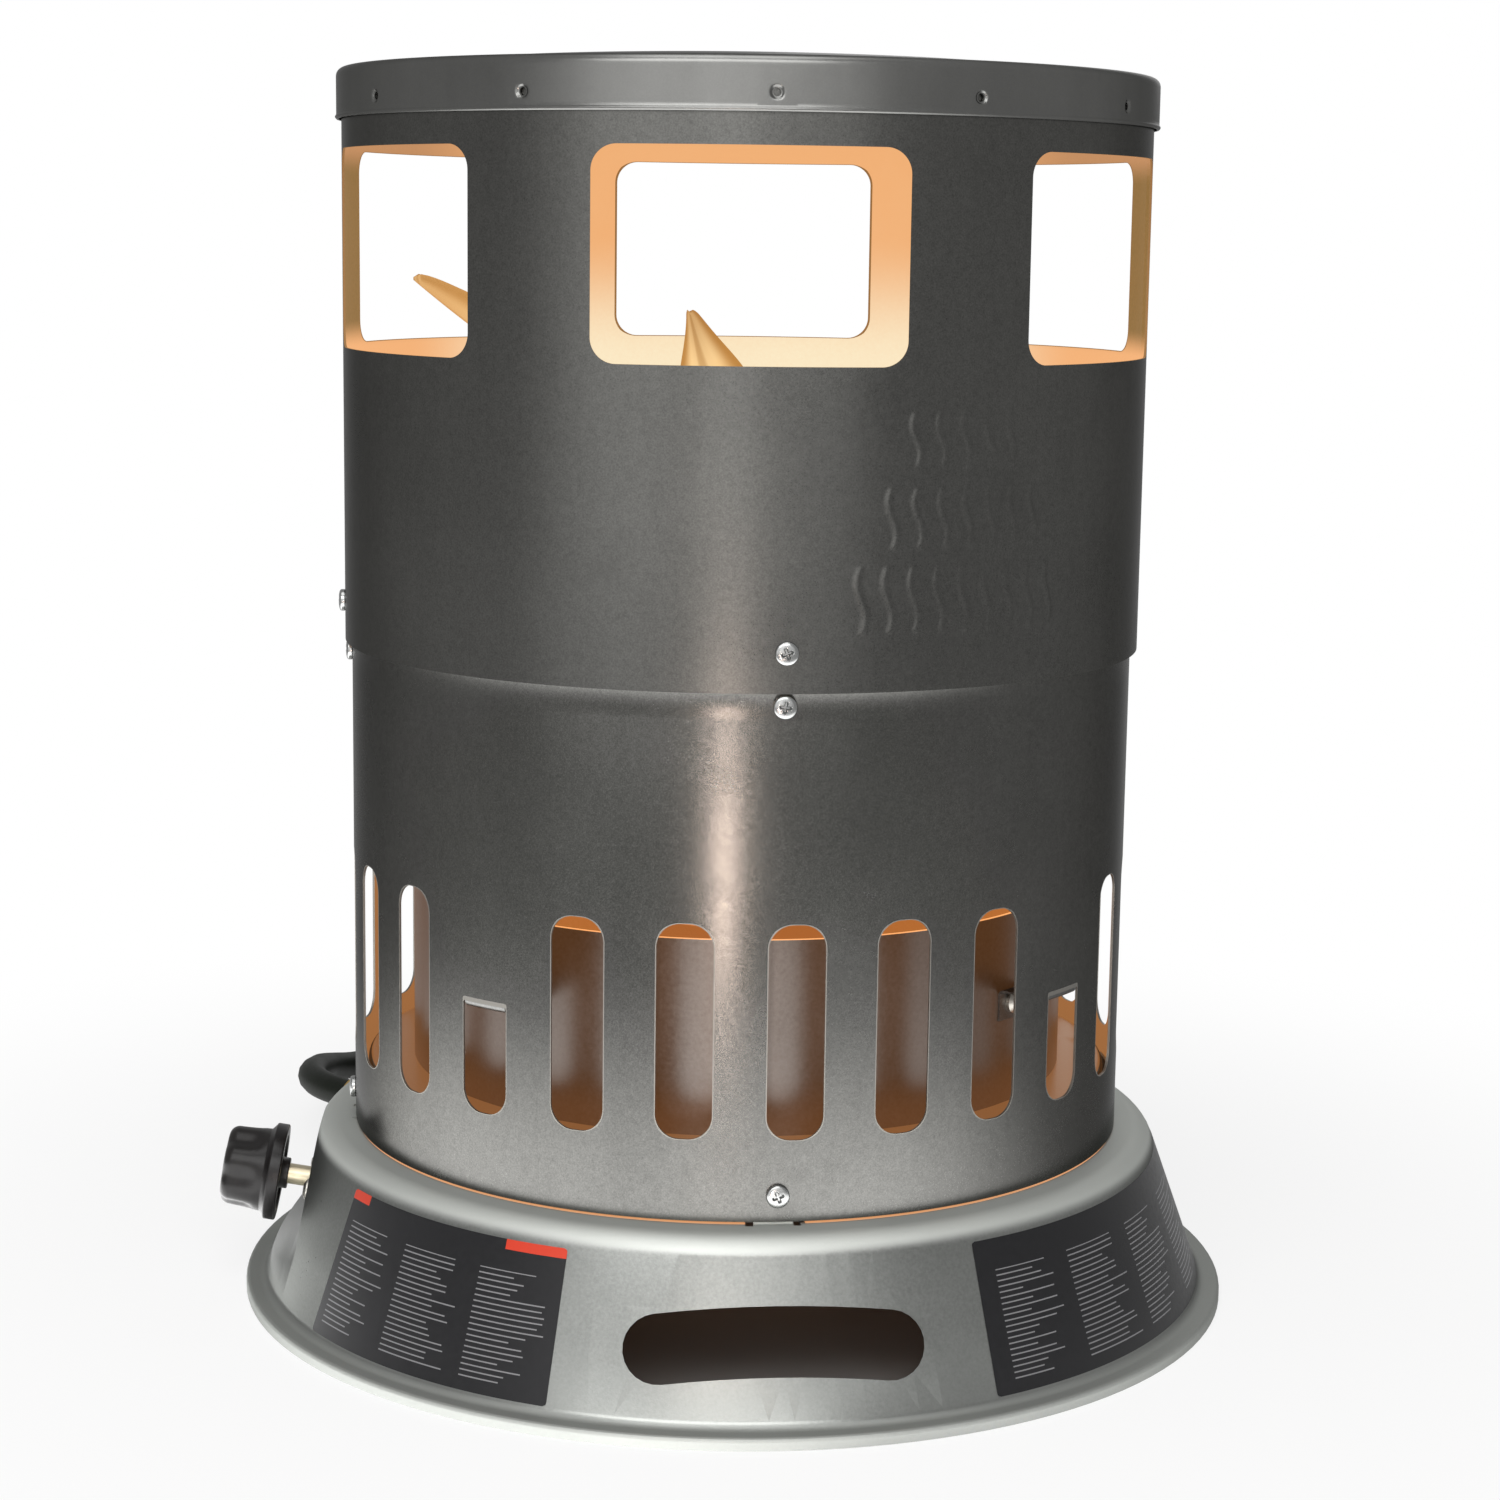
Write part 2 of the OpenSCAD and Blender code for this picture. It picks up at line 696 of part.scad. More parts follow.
module thrust_washer() {
  color([0.7, 0.7, 0.7]) stem_frame() translate([0, 0, -16.2]) difference() {
    cylinder(r = 6.8, h = 1.6);
    translate([0, 0, -1]) cylinder(r = stem_r + running, h = 4);
  }
}

module valve_plug() {
  color([0.75, 0.65, 0.4]) stem_frame() difference() {
    translate([0, 0, valve_end + 2.4]) cylinder(r = plug_r, h = 16);
    translate([0, 0, stem_in - knob_push - 3]) cylinder(r = stem_r + 0.35, h = 20);
  }
}

module valve_body() {
  color([0.72, 0.6, 0.36]) stem_frame() difference() {
    union() {
      translate([0, 0, -28]) cylinder(r = bonnet_r, h = 28 + face_s - base_sheet - 1.5);
      translate([0, 0, valve_end]) cylinder(r = valve_r, h = -28 - valve_end);
      translate([0, 0, valve_end - 8]) cylinder(r = 7, h = 8);
      translate([0, 0, -40]) rotate([0, -90, 0]) cylinder(r = 7, h = 24);
      translate([0, 0, -38]) rotate([0, 90, 0]) cylinder(r = 4.5, h = lead_port_l);
    }
    translate([0, 0, -23]) cylinder(r = 7.3, h = 12);
    translate([0, 0, -34]) cylinder(r = stem_r + 0.35, h = 12);
    translate([0, 0, valve_end + 2]) cylinder(r = plug_r + running, h = 16.8);
    translate([0, 0, valve_end - 9]) cylinder(r = tube_r, h = 7);
    translate([0, 0, valve_end - 9]) cylinder(r = 3, h = 12);
    translate([0, 0, -40]) rotate([0, -90, 0]) translate([0, 0, 14]) cylinder(r = tube_r, h = 11);
  }
}

module valve_bracket() {
  color([0.64, 0.64, 0.62]) stem_frame() translate([0, 0, face_s - base_sheet - 1.5])
    difference() {
      linear_extrude(1.5) rounded(42, 24, 3);
      translate([0, 0, -1]) cylinder(r = stem_r + 1.1, h = 4);
      for (x = [-1, 1]) {
        translate([x * 16, 0, -1]) cylinder(r = shank_r, h = 4);
      }
    }
}

module valve_screws() {
  color([0.75, 0.74, 0.7]) stem_frame() for (x = [-1, 1]) {
    translate([x * 16, 0, face_s]) pan_screw(6);
  }
}

// ---- flame sensor ----------------------------------------------------------
probe_at = polar(deck_hole_r + 12, -60, 0);
lead_port = port_at(-38) + lead_port_l * [cos(knob_az), sin(knob_az), 0];
lead_route = [
  probe_at + [0, 0, deck_z + 6], probe_at + [0, 0, deck_z - 12], probe_at + [-2, -2, deck_z - 20],
  probe_at + [-10, -4, deck_z - 30], probe_at + [-26, -6, deck_z - 42],
  lead_port + [40, -8, 5], lead_port + [24, -13, 1.5], lead_port + [12, -18, 0.4],
  lead_port + [4, -18.5, 0], lead_port + [0.5, -13, 0], lead_port
];

module thermocouple() {
  color([0.72, 0.62, 0.5]) translate(probe_at) {
    translate([0, 0, deck_z + 6]) cylinder(r = 2.4, h = 34);
    translate([0, 0, deck_z + 40]) cylinder(r1 = 2.4, r2 = 1.4, h = 3);
    translate([0, 0, deck_z + 14.5]) difference() {
      hex_prism(9, 4);
      translate([0, 0, -1]) cylinder(r = 2.4, h = 6);
    }
  }
}

module thermocouple_bracket() {
  color([0.66, 0.66, 0.64]) translate(probe_at) rotate([0, 0, -60]) difference() {
    union() {
      translate([-7, -17, deck_z]) cube([14, 12, 1.2]);
      translate([-7, -6.2, deck_z]) cube([14, 1.2, 14.5]);
      translate([-7, -6.2, deck_z + 13]) cube([14, 12, 1.5]);
    }
    translate([0, 0, deck_z + 12]) cylinder(r = 2.4, h = 4);
  }
}

module thermocouple_lead() {
  color([0.72, 0.45, 0.3]) swept_tube(lead_route, 1.25, 8, [0.3, 1, 0.1]);
}

// ---- gas inlet -------------------------------------------------------------
inlet_mouth = polar(inlet_in + 4, inlet_az, inlet_z);
inlet_route = [
  port_at(-40) + [-0.5, 14, 0], port_at(-40) + [-0.8, 25, 0], port_at(-40) + [0, 38, -0.3],
  port_at(-40) + [5, 52, -0.7], inlet_mouth + [3.6, -33, 0.2], inlet_mouth + [10.6, -22, 0],
  inlet_mouth + [12.6, -14, 0], inlet_mouth + [10, -7.5, 0], inlet_mouth
];

module inlet_tube() {
  color([0.74, 0.74, 0.72]) swept_tube(inlet_route, tube_r - 0.15, 12);
}

module inlet_fitting() {
  color([0.8, 0.68, 0.4]) facing(inlet_az, 0, inlet_z) difference() {
    union() {
      translate([0, 0, inlet_in]) cylinder(r = inlet_r, h = collar_out - inlet_in + 0.1);
      translate([0, 0, collar_out]) hex_prism(2 * inlet_hex_r - 2, hex_end - collar_out);
      translate([0, 0, hex_end]) cylinder(r = inlet_r, h = nut_end - 3 - hex_end);
    }
    translate([0, 0, inlet_in - 1]) cylinder(r = tube_r, h = 9);
    translate([0, 0, inlet_in]) cylinder(r = 3, h = 60);
  }
}

module inlet_collars() {
  color([0.5, 0.5, 0.48]) {
    difference() {
      facing(inlet_az, inlet_in, inlet_z) cylinder(r = inlet_hex_r, h = collar_out - inlet_in);
      base_outer_solid();
      facing(inlet_az, inlet_in - 10, inlet_z) cylinder(r = inlet_r + 0.1, h = 60);
    }
    intersection() {
      base_inner_solid();
      facing(inlet_az, inlet_in + 8, inlet_z) difference() {
        cylinder(r = inlet_hex_r, h = 20);
        translate([0, 0, -1]) cylinder(r = inlet_r + 0.1, h = 22);
      }
    }
  }
}

module inlet_lock_nut() {
  color([0.8, 0.68, 0.4]) facing(inlet_az, inlet_in + 2.5, inlet_z) difference() {
    hex_prism(2 * inlet_hex_r, 5.5);
    translate([0, 0, -1]) cylinder(r = inlet_r, h = 8);
  }
}

module hose_nut() {
  color([0.8, 0.68, 0.4]) facing(inlet_az, nut_start, inlet_z) difference() {
    hex_prism(19, nut_end - nut_start);
    translate([0, 0, -1]) cylinder(r = inlet_r + running, h = nut_end - nut_start - 1.5);
    translate([0, 0, -1]) cylinder(r = 5.4, h = nut_end - nut_start + 2);
  }
}

module hose_ferrule() {
  color([0.75, 0.7, 0.55]) facing(inlet_az, 0, inlet_z) difference() {
    union() {
      translate([0, 0, nut_end + 0.3]) cylinder(r = hose_r + 1.5, h = ferrule_end - nut_end - 0.3);
      translate([0, 0, nut_end - 3]) cylinder(r = 5, h = 4);
    }
    translate([0, 0, nut_end - 4]) cylinder(r = 2.5, h = 20);
  }
}

// ---- hose and regulator ----------------------------------------------------
module gas_hose() {
  color([0.06, 0.07, 0.06])
    swept_tube(concat([polar(ferrule_end, inlet_az, inlet_z)],
      [for (p = hose_route) p + hose_shift]), hose_r, 12);
}

module hose_coil() {
  color([0.06, 0.07, 0.06]) translate([coil_at.x, coil_at.y, 0]) rotate_extrude()
    box_section(coil_in, coil_out, 0, coil_h);
}

module hose_tie() {
  color([0.1, 0.1, 0.1]) translate([coil_at.x, coil_at.y, 0]) rotate([0, 0, tie_at])
    rotate_extrude(angle = 8) difference() {
      box_section(coil_in - tie_t, coil_out + tie_t, 0, coil_h + tie_t);
      box_section(coil_in, coil_out, -1, coil_h);
    }
}

module tail_hose() {
  color([0.06, 0.07, 0.06]) translate(hose_shift) swept_tube(tail_route, hose_r, 12);
}

// local +X runs along the tail's end, out of the hose and into the regulator
module tail_frame() {
  translate(tail_end) rotate([0, 0, tail_heading]) children();
}

reg_at = 54;
reg_r = 28;
module along(x) {
  translate([x, 0, 0]) rotate([0, 90, 0]) children();
}

module tail_ferrule() {
  color([0.75, 0.7, 0.55]) tail_frame() {
    along(0) cylinder(r = hose_r + 1.5, h = 14);
    along(14) hex_prism(15, 7);
    along(21) cylinder(r = 5, h = 7);
  }
}

module regulator_body() {
  color([0.7, 0.7, 0.7]) tail_frame() difference() {
    union() {
      translate([reg_at, 0, -tail_end.z]) cylinder(r1 = reg_r - 8, r2 = reg_r - 4, h = 12);
      translate([reg_at, 0, -tail_end.z + 12]) cylinder(r = reg_r - 4, h = 20);
      translate([reg_at, 0, 6]) cylinder(r = reg_r + 4, h = 4);
      along(28) cylinder(r = 9, h = 10);
      along(reg_at + 20) cylinder(r = 9.8, h = 12);
    }
    along(27) cylinder(r = 5, h = 12);
    along(reg_at + 22) cylinder(r = 7, h = 12);
  }
}

module regulator_cover() {
  color([0.66, 0.1, 0.08]) tail_frame() translate([reg_at, 0, 10]) {
    cylinder(r = reg_r + 4, h = 3);
    translate([0, 0, 3]) cylinder(r1 = reg_r - 2.6, r2 = reg_r - 8, h = 8);
    translate([0, 0, 11]) cylinder(r = 9, h = 6);
  }
}

module regulator_screws() {
  color([0.75, 0.74, 0.7]) tail_frame() translate([reg_at, 0, 13]) around(6, 30)
    translate([0, reg_r + 0.8, 0]) cylinder(r = 2.4, h = 2.2);
}

module regulator_vent() {
  color([0.1, 0.1, 0.1]) tail_frame() translate([reg_at, 0, 27]) difference() {
    cylinder(r = 7, h = 3);
    for (a = [0, 60, 120]) {
      rotate([0, 0, a]) translate([-5, -0.5, 1.8]) cube([10, 1, 3]);
    }
  }
}

nipple_x = reg_at + 22;
nut_x = reg_at + 34;
// the nipple's straight nose, which goes into the tank valve's seat
nose_r = 7;
nose_l = 10;
tank_thread_r = 16.65;
tank_nut_r = 24;
tank_nut_l = 24;
module tank_nipple() {
  color([0.8, 0.68, 0.4]) tail_frame() difference() {
    union() {
      along(nipple_x) cylinder(r = 7, h = nut_x + 1.6 - nipple_x);
      along(nut_x + 1.6) cylinder(r = 9, h = 2.2);
      along(nut_x + 3.8) cylinder(r1 = 8.2, r2 = nose_r, h = 14 - nose_l);
      along(nut_x + 17.8 - nose_l) cylinder(r = nose_r, h = nose_l);
    }
    along(nipple_x - 1) cylinder(r = 2.5, h = 40);
  }
}

module coupling_nut() {
  color([0.08, 0.08, 0.08]) tail_frame() difference() {
    along(nut_x) difference() {
      cylinder(r = tank_nut_r, h = tank_nut_l);
      around(10) translate([0, tank_nut_r + 2.6, -1]) cylinder(r = 4, h = tank_nut_l + 2);
    }
    along(nut_x - 1) cylinder(r = 7 + running, h = 4);
    along(nut_x + 1.3) cylinder(r = 9.4, h = 4);
    along(nut_x + 4.2) cylinder(r = tank_thread_r, h = tank_nut_l);
  }
}

// ---- decals on the wall ----------------------------------------------------
label_low = 7;
label_high = shoulder_z + shoulder_r * sin(wall_tilt) - 1.5;
label_path = [[wall_r(label_low), label_low], [wall_r(label_high), label_high]];
label_t = 0.3;

module label(az, span) {
  color([0.07, 0.07, 0.08]) sector(az, span) polygon(strip(label_path, -label_t));
}

module label_left() {
  label(-58, 37);
}

module label_right() {
  label(30, 68);
}

top_cover();
upper_shell();
lower_shell();
seam_screws();
tab_screws();
drum_screws();
inner_drum();
deck_screws();
base_pan();
deflector();
deflector_legs();
deflector_screws();
burner_head();
burner_ports_plate();
venturi_tube();
air_shutter();
burner_bracket();
bracket_screws();
jet();
jet_elbow();
manifold_tube();
manifold_nuts();
knob();
valve_stem();
thrust_washer();
valve_plug();
valve_body();
valve_bracket();
valve_screws();
thermocouple();
thermocouple_bracket();
thermocouple_lead();
inlet_tube();
inlet_fitting();
inlet_collars();
inlet_lock_nut();
hose_nut();
hose_ferrule();
gas_hose();
hose_coil();
hose_tie();
tail_hose();
tail_ferrule();
regulator_body();
regulator_cover();
regulator_screws();
regulator_vent();
tank_nipple();
coupling_nut();
label_left();
label_right();
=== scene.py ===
"""Portable convection heater: its shaped sheet metal, hose and finishes, on the fixed frame."""

import json
import math

import bmesh
import bpy
import numpy as np
from bpy.props import FloatProperty, FloatVectorProperty, IntProperty, PointerProperty
from mathutils import Matrix, Vector


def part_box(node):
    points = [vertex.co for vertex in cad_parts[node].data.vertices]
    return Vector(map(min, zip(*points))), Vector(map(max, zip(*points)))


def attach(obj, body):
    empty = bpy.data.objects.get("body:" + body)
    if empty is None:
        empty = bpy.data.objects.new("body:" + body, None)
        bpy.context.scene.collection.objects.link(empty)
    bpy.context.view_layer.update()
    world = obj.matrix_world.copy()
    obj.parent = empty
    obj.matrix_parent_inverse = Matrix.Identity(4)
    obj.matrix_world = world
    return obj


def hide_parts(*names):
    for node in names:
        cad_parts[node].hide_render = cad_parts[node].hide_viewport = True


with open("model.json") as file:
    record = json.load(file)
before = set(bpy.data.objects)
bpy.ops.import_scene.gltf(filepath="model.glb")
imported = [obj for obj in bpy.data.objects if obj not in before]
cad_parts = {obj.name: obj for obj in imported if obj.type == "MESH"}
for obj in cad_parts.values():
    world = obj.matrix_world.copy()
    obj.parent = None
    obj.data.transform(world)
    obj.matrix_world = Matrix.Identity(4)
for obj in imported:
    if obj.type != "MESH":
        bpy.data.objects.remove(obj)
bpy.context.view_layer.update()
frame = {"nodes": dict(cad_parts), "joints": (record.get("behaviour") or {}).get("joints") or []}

bl_info = {
    "name": "Portable heater",
    "version": (1, 0, 0),
    "blender": (4, 5, 0),
    "location": "3D View > Sidebar > Heater",
    "description": "Builds a round sheet-steel heater, its hose and its finishes",
    "category": "Add Mesh",
}

MM = 0.001

# ---- what the frame says ------------------------------------------------------
UPPER_LOW, UPPER_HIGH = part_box("upper_shell")
LOWER_LOW, LOWER_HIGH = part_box("lower_shell")
LID_LOW, LID_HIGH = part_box("top_cover")
BASE_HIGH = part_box("base_pan")[1]
DRUM_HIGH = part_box("inner_drum")[1]
DISH_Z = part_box("deflector")[0].z
JOINTS = {joint["name"]: joint for joint in frame["joints"]}

UPPER_R = UPPER_HIGH.x
SEAM_Z = UPPER_LOW.z
SHELL_TOP = UPPER_HIGH.z
LID_R = LID_HIGH.x
RIM_LOW = LID_LOW.z
BASE_R = BASE_HIGH.x
SHELL_Z = LOWER_LOW.z
SHEET = 0.8 * MM
SHELL_STEP, LID_RISE = 2.5 * MM, 18 * MM
SHELL_R = UPPER_R - SHELL_STEP
LID_TOP = RIM_LOW + LID_RISE
WINDOW_HEIGHT = 70.5 * MM
WINDOW_DROP = 28.5 * MM
WINDOW_Z = LID_TOP - WINDOW_DROP - WINDOW_HEIGHT / 2
SLOT_RISE = 27.5 * MM
SCREW_AZ = 5.3
SHORT_AZ = 52.5
PUNCHES = (3, 30, 60, 91, 120, 150, 181, 210, 240, 271, 301, 330)


# ---- sizes and colours that a user would change -------------------------------
def length(name, description, default):
    return FloatProperty(name=name, description=description, default=default, unit="LENGTH")


def colour(name, description, default):
    return FloatVectorProperty(
        name=name, description=description, default=default, size=3, subtype="COLOR",
        min=0, max=1,
    )


class HeaterSizes(bpy.types.PropertyGroup):
    """Sizes of the shaped pieces."""

    window_width: length("Window width", "Width of each window", 104 * MM)
    window_height: length("Window height", "Height of each window", WINDOW_HEIGHT)
    window_corner: length("Window corner", "Corner radius of each window", 8.5 * MM)
    slot_width: length("Slot width", "Width of each upright slot", 19.5 * MM)
    slot_height: length("Slot height", "Height of each full slot", 74.5 * MM)
    short_slot_height: length("Short slot height", "Height of the four short slots", 39 * MM)
    slot_corner: length("Slot corner", "Corner radius of the slots", 8.3 * MM)
    emboss_height: length("Emboss height", "How far the heat waves stand out", 0.32 * MM)
    dimple_depth: length("Dimple depth", "How far the lid's dimples are pressed in", 0.7 * MM)
    head_radius: length("Screw head radius", "Radius of the pan heads", 4 * MM)
    hose_diameter: length("Hose diameter", "Outside diameter of the gas hose", 12.5 * MM)
    hose_length: length("Hose length", "Length of the gas hose", 3.05)
    knob_flutes: IntProperty(name="Knob flutes", description="Grooves round the grip",
                             default=6, min=3, max=12)


class HeaterColours(bpy.types.PropertyGroup):
    """Colours of the finishes."""

    steel: colour("Shell steel", "Bare rolled steel of the shells", (0.114, 0.113, 0.107))
    zinc: colour("Base steel", "Galvanised steel of the base", (0.236, 0.243, 0.232))
    lid: colour("Lid steel", "Steel of the lid", (0.158, 0.158, 0.152))
    glow_low: colour("Glow at the sill", "Firelight low in the chamber", (1.0, 0.88, 0.62))
    glow_high: colour("Glow at the top", "Firelight high in the chamber", (0.90, 0.45, 0.19))
    knob: colour("Knob", "Moulded plastic of the knob", (0.008, 0.007, 0.007))
    rubber: colour("Hose rubber", "Rubber of the hose", (0.006, 0.008, 0.005))
    label: colour("Label film", "Dark film of the labels", (0.007, 0.007, 0.008))
    label_red: colour("Label blocks", "Blocks of the labels", (0.56, 0.045, 0.02))


def sizes():
    return bpy.context.scene.heater_sizes


def chosen(name):
    """A colour that the user can change."""
    return tuple(getattr(bpy.context.scene.heater_colours, name))


# ---- points and meshes --------------------------------------------------------
def polar(r, az, z):
    """(r sin az, -r cos az, z), with az in degrees from the front towards +X."""
    r, az, z = np.broadcast_arrays(r, np.radians(az), z)
    return np.stack([r * np.sin(az), -r * np.cos(az), z], axis=-1)


def azimuth_of(x, r):
    """Azimuth in degrees of a point that is x to the right on a cylinder of radius r."""
    return np.degrees(np.arcsin(x / r))


def smoothstep(low, high, x):
    """0 below low, 1 above high, and 3t^2 - 2t^3 between them."""
    t = np.clip((x - low) / (high - low), 0, 1)
    return t * t * (3 - 2 * t)


class Skin:
    """Grids of points that are joined where they meet, as one closed mesh."""

    QUANTUM = 1.7321e-6
    OFFSET = 1 << 20

    def __init__(self):
        self.points, self.faces, self.paints, self.marks = [], [], [], []
        self.count = 0

    def add(self, points, faces, paint=0, uv=None):
        points = np.asarray(points, float).reshape(-1, 3)
        self.points.append(points)
        self.faces.append(faces + self.count)
        self.paints.append(np.full(len(faces), paint))
        self.marks.append(np.zeros((len(points), 2)) if uv is None else uv.reshape(-1, 2))
        self.count += len(points)

    def grid(self, points, paint=0, wrap=False, uv=None):
        """Four-sided faces between rows of points; wrap closes each row on itself."""
        rows, cols = points.shape[:2]
        i = np.arange(rows - 1)[:, None]
        j = np.arange(cols if wrap else cols - 1)[None, :]
        after = (j + 1) % cols
        corners = (i * cols + j, i * cols + after, (i + 1) * cols + after, (i + 1) * cols + j)
        faces = np.stack(np.broadcast_arrays(*corners), axis=-1).reshape(-1, 4)
        self.add(points, faces, paint, uv)

    def bridge(self, first, second, paint=0, wrap=False, uv=None):
        """One row of faces between two lines of points."""
        both = None if uv is None else np.stack([uv, uv])
        self.grid(np.stack([first, second]), paint, wrap, both)

    def sheet(self, face, back, paint=0, uv=None):
        """Two grids, and the four strips that close them along their edges."""
        self.grid(face, paint, uv=uv)
        self.grid(back, paint, uv=uv)
        for end in (0, -1):
            for side in (np.s_[end], np.s_[:, end]):
                self.bridge(face[side], back[side], paint, uv=None if uv is None else uv[side])

    def zipper(self, low, low_at, high, high_at, paint):
        """Triangles between two rows whose points stand at the values low_at and high_at."""
        n = len(low)
        order = np.argsort(np.concatenate([low_at[1:], high_at[1:]]), kind="stable")
        on_low = order < n - 1
        a, b = np.cumsum(on_low), np.cumsum(~on_low)
        faces = np.stack([a - on_low, a, n + b, n + b - ~on_low], axis=-1)
        self.add(np.concatenate([low, high]), faces, paint)

    def mesh(self, name):
        """Points in one small cell become one, and a face with two equal corners loses one."""
        points, marks = np.concatenate(self.points), np.concatenate(self.marks)
        cells = np.round(points / self.QUANTUM + 0.3137).astype(np.int64) + self.OFFSET
        key = (cells[:, 0] << 42) + (cells[:, 1] << 21) + cells[:, 2]
        _, first, same = np.unique(key, return_index=True, return_inverse=True)
        quads, paint = same.ravel()[np.concatenate(self.faces)], np.concatenate(self.paints)
        equal = quads == np.roll(quads, -1, axis=1)
        crossed = (quads[:, 0] == quads[:, 2]) | (quads[:, 1] == quads[:, 3])
        whole = ~equal.any(1) & ~crossed
        three = (equal.sum(1) == 1) & ~crossed
        turned = quads[three]
        at = (equal[three].argmax(1)[:, None] + 1 + np.arange(3)[None, :]) % 4
        triangles = np.take_along_axis(turned, at, axis=1)
        mesh = bpy.data.meshes.new(name)
        mesh.from_pydata(points[first].tolist(), [], quads[whole].tolist() + triangles.tolist())
        mesh.polygons.foreach_set("material_index", np.concatenate([paint[whole], paint[three]]))
        if marks.any():
            corner = np.zeros(len(mesh.loops), np.int32)
            mesh.loops.foreach_get("vertex_index", corner)
            mesh.uv_layers.new(name="map").data.foreach_set("uv", marks[first][corner].ravel())
        work = bmesh.new()
        work.from_mesh(mesh)
        bmesh.ops.recalc_face_normals(work, faces=work.faces)
        work.to_mesh(mesh)
        work.free()
        return mesh

    def piece(self, name, paints, node, slot, body="heater", sharp=32):
        return place_piece(self.mesh(name), name, paints, node, body, sharp)


def place_piece(mesh, name, paints, node, body="heater", sharp=32):
    """A mesh in a node's place, smooth except at edges sharper than that angle."""
    mesh.shade_smooth()
    mesh.set_sharp_from_angle(angle=math.radians(sharp))
    for paint in paints:
        mesh.materials.append(paint)
    obj = bpy.data.objects.new(name, mesh)
    bpy.context.scene.collection.objects.link(obj)
    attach(obj, body)
    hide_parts(node)
    return obj


def offset_line(line, distance):
    """A line in a plane moved to its left by a distance, with mitred corners."""
    step = np.diff(line, axis=0)
    step /= np.linalg.norm(step, axis=1, keepdims=True)
    left = np.stack([-step[:, 1], step[:, 0]], axis=1)
    before, after = np.vstack([left[:1], left]), np.vstack([left, left[-1:]])
    normal = before + after
    normal /= np.linalg.norm(normal, axis=1, keepdims=True)
    return line + normal * distance / (normal * before).sum(1, keepdims=True)


def arc(centre, radius, start, end, steps):
    """Points of a circle's arc in a plane, from one angle to another in degrees."""
    a = np.radians(np.linspace(start, end, steps + 1))
    return np.stack([centre[0] + radius * np.cos(a), centre[1] + radius * np.sin(a)], axis=1)


def strip_sector(skin, line, thickness, az_start, az_end, steps, paint=0):
    """A bent strip: a line of (r, z) with a thickness, carried from one azimuth to another."""
    other = offset_line(line, thickness)
    az = np.linspace(az_start, az_end, steps + 1)[None, :]
    skin.sheet(polar(line[:, :1], az, line[:, 1:]), polar(other[:, :1], az, other[:, 1:]), paint)


# ---- walls with holes ---------------------------------------------------------
def quarter(half_width, z_end, corner, z_middle, counts):
    """A quarter of a rounded rectangle, from the middle of its end to the middle of its side."""
    across, turns, along = counts
    up = np.sign(z_middle - z_end)
    turn = np.radians(np.linspace(0, 90, turns + 1))
    x = np.concatenate([
        np.linspace(0, half_width - corner, across + 1)[:-1],
        half_width - corner + corner * np.sin(turn),
        np.full(along, half_width),
    ])
    z = np.concatenate([
        np.full(across, z_end),
        z_end + up * corner * (1 - np.cos(turn)),
        np.linspace(z_end + up * corner, z_middle, along + 1)[1:],
    ])
    return np.stack([x, z], axis=1)


def quarter_cell(straight, edge, z_end, z_turn, z_middle, counts):
    """The quarter of the cell round a hole that its points lead to, as (azimuth, z)."""
    half, along = counts[1] // 2, counts[2]
    az = np.concatenate([
        straight[:-1],
        np.linspace(straight[-1], edge, half + 1),
        np.full(half + along, edge),
    ])
    z = np.concatenate([
        np.full(len(straight) - 1 + half + 1, z_end),
        np.linspace(z_end, z_turn, half + 1)[1:],
        np.linspace(z_turn, z_middle, along + 1)[1:],
    ])
    return np.stack([az, z], axis=1)


def whole_loop(low, high):
    """A closed loop from a lower and an upper quarter, by mirroring both to the left."""
    right = np.concatenate([low, high[::-1][1:]])
    return np.concatenate([right, right[::-1][1:-1] * (-1, 1)])


class Cell:
    """The stretch of wall round one hole: its loop, its columns and its levels."""

    def __init__(self, half_width, low, high, corner, edge, z_low, z_high, radius, counts):
        middle = (low + high) / 2
        straight = azimuth_of(np.linspace(0, half_width - corner, counts[0] + 1), radius)
        self.loop = whole_loop(
            quarter_cell(straight, edge, z_low, low + corner, middle, counts),
            quarter_cell(straight, edge, z_high, high - corner, middle, counts),
        )
        half = np.concatenate(
            [straight[:-1], np.linspace(straight[-1], edge, counts[1] // 2 + 1)])
        self.columns = np.concatenate([-half[::-1], half[1:]])
        self.z_low, self.z_high = z_low, z_high

    def levels(self):
        """The heights of the points up the cell's side."""
        side = self.loop[np.isclose(self.loop[:, 0], self.columns[-1])]
        return np.unique(np.round(side[:, 1], 9))


def hole(half_width, low, high, corner_low, corner_high, counts):
    """The outline of an opening: a rectangle with rounded corners, as (x, z)."""
    middle = (low + high) / 2
    return whole_loop(
        quarter(half_width, low, corner_low, middle, counts),
        quarter(half_width, high, corner_high, middle, counts),
    )


def cell_panel(skin, place, cell, outline, centre, radius, paint, rows, rim=None):
    """Rows of points from a hole's outline to its cell's edge, the first in the rim's paint."""
    inner = np.stack([azimuth_of(outline[:, 0], radius), outline[:, 1]], axis=1)
    t = np.linspace(0, 1, rows + 1) ** 1.6
    t = np.insert(t, 1, 0.035)[:, None, None]
    at = inner[None] + (cell.loop - inner)[None] * t
    points = place(centre + at[..., 0], at[..., 1])
    skin.grid(points[:2], paint if rim is None else rim, wrap=True)
    skin.grid(points[1:], paint, wrap=True)
    return points[0]


def ring_columns(cell, centres):
    """The azimuths of a whole ring of cells that touch each other."""
    turns = [centre + cell.columns[:-1] for centre in centres]
    return np.concatenate(turns + [[centres[0] + cell.columns[0] + 360]])


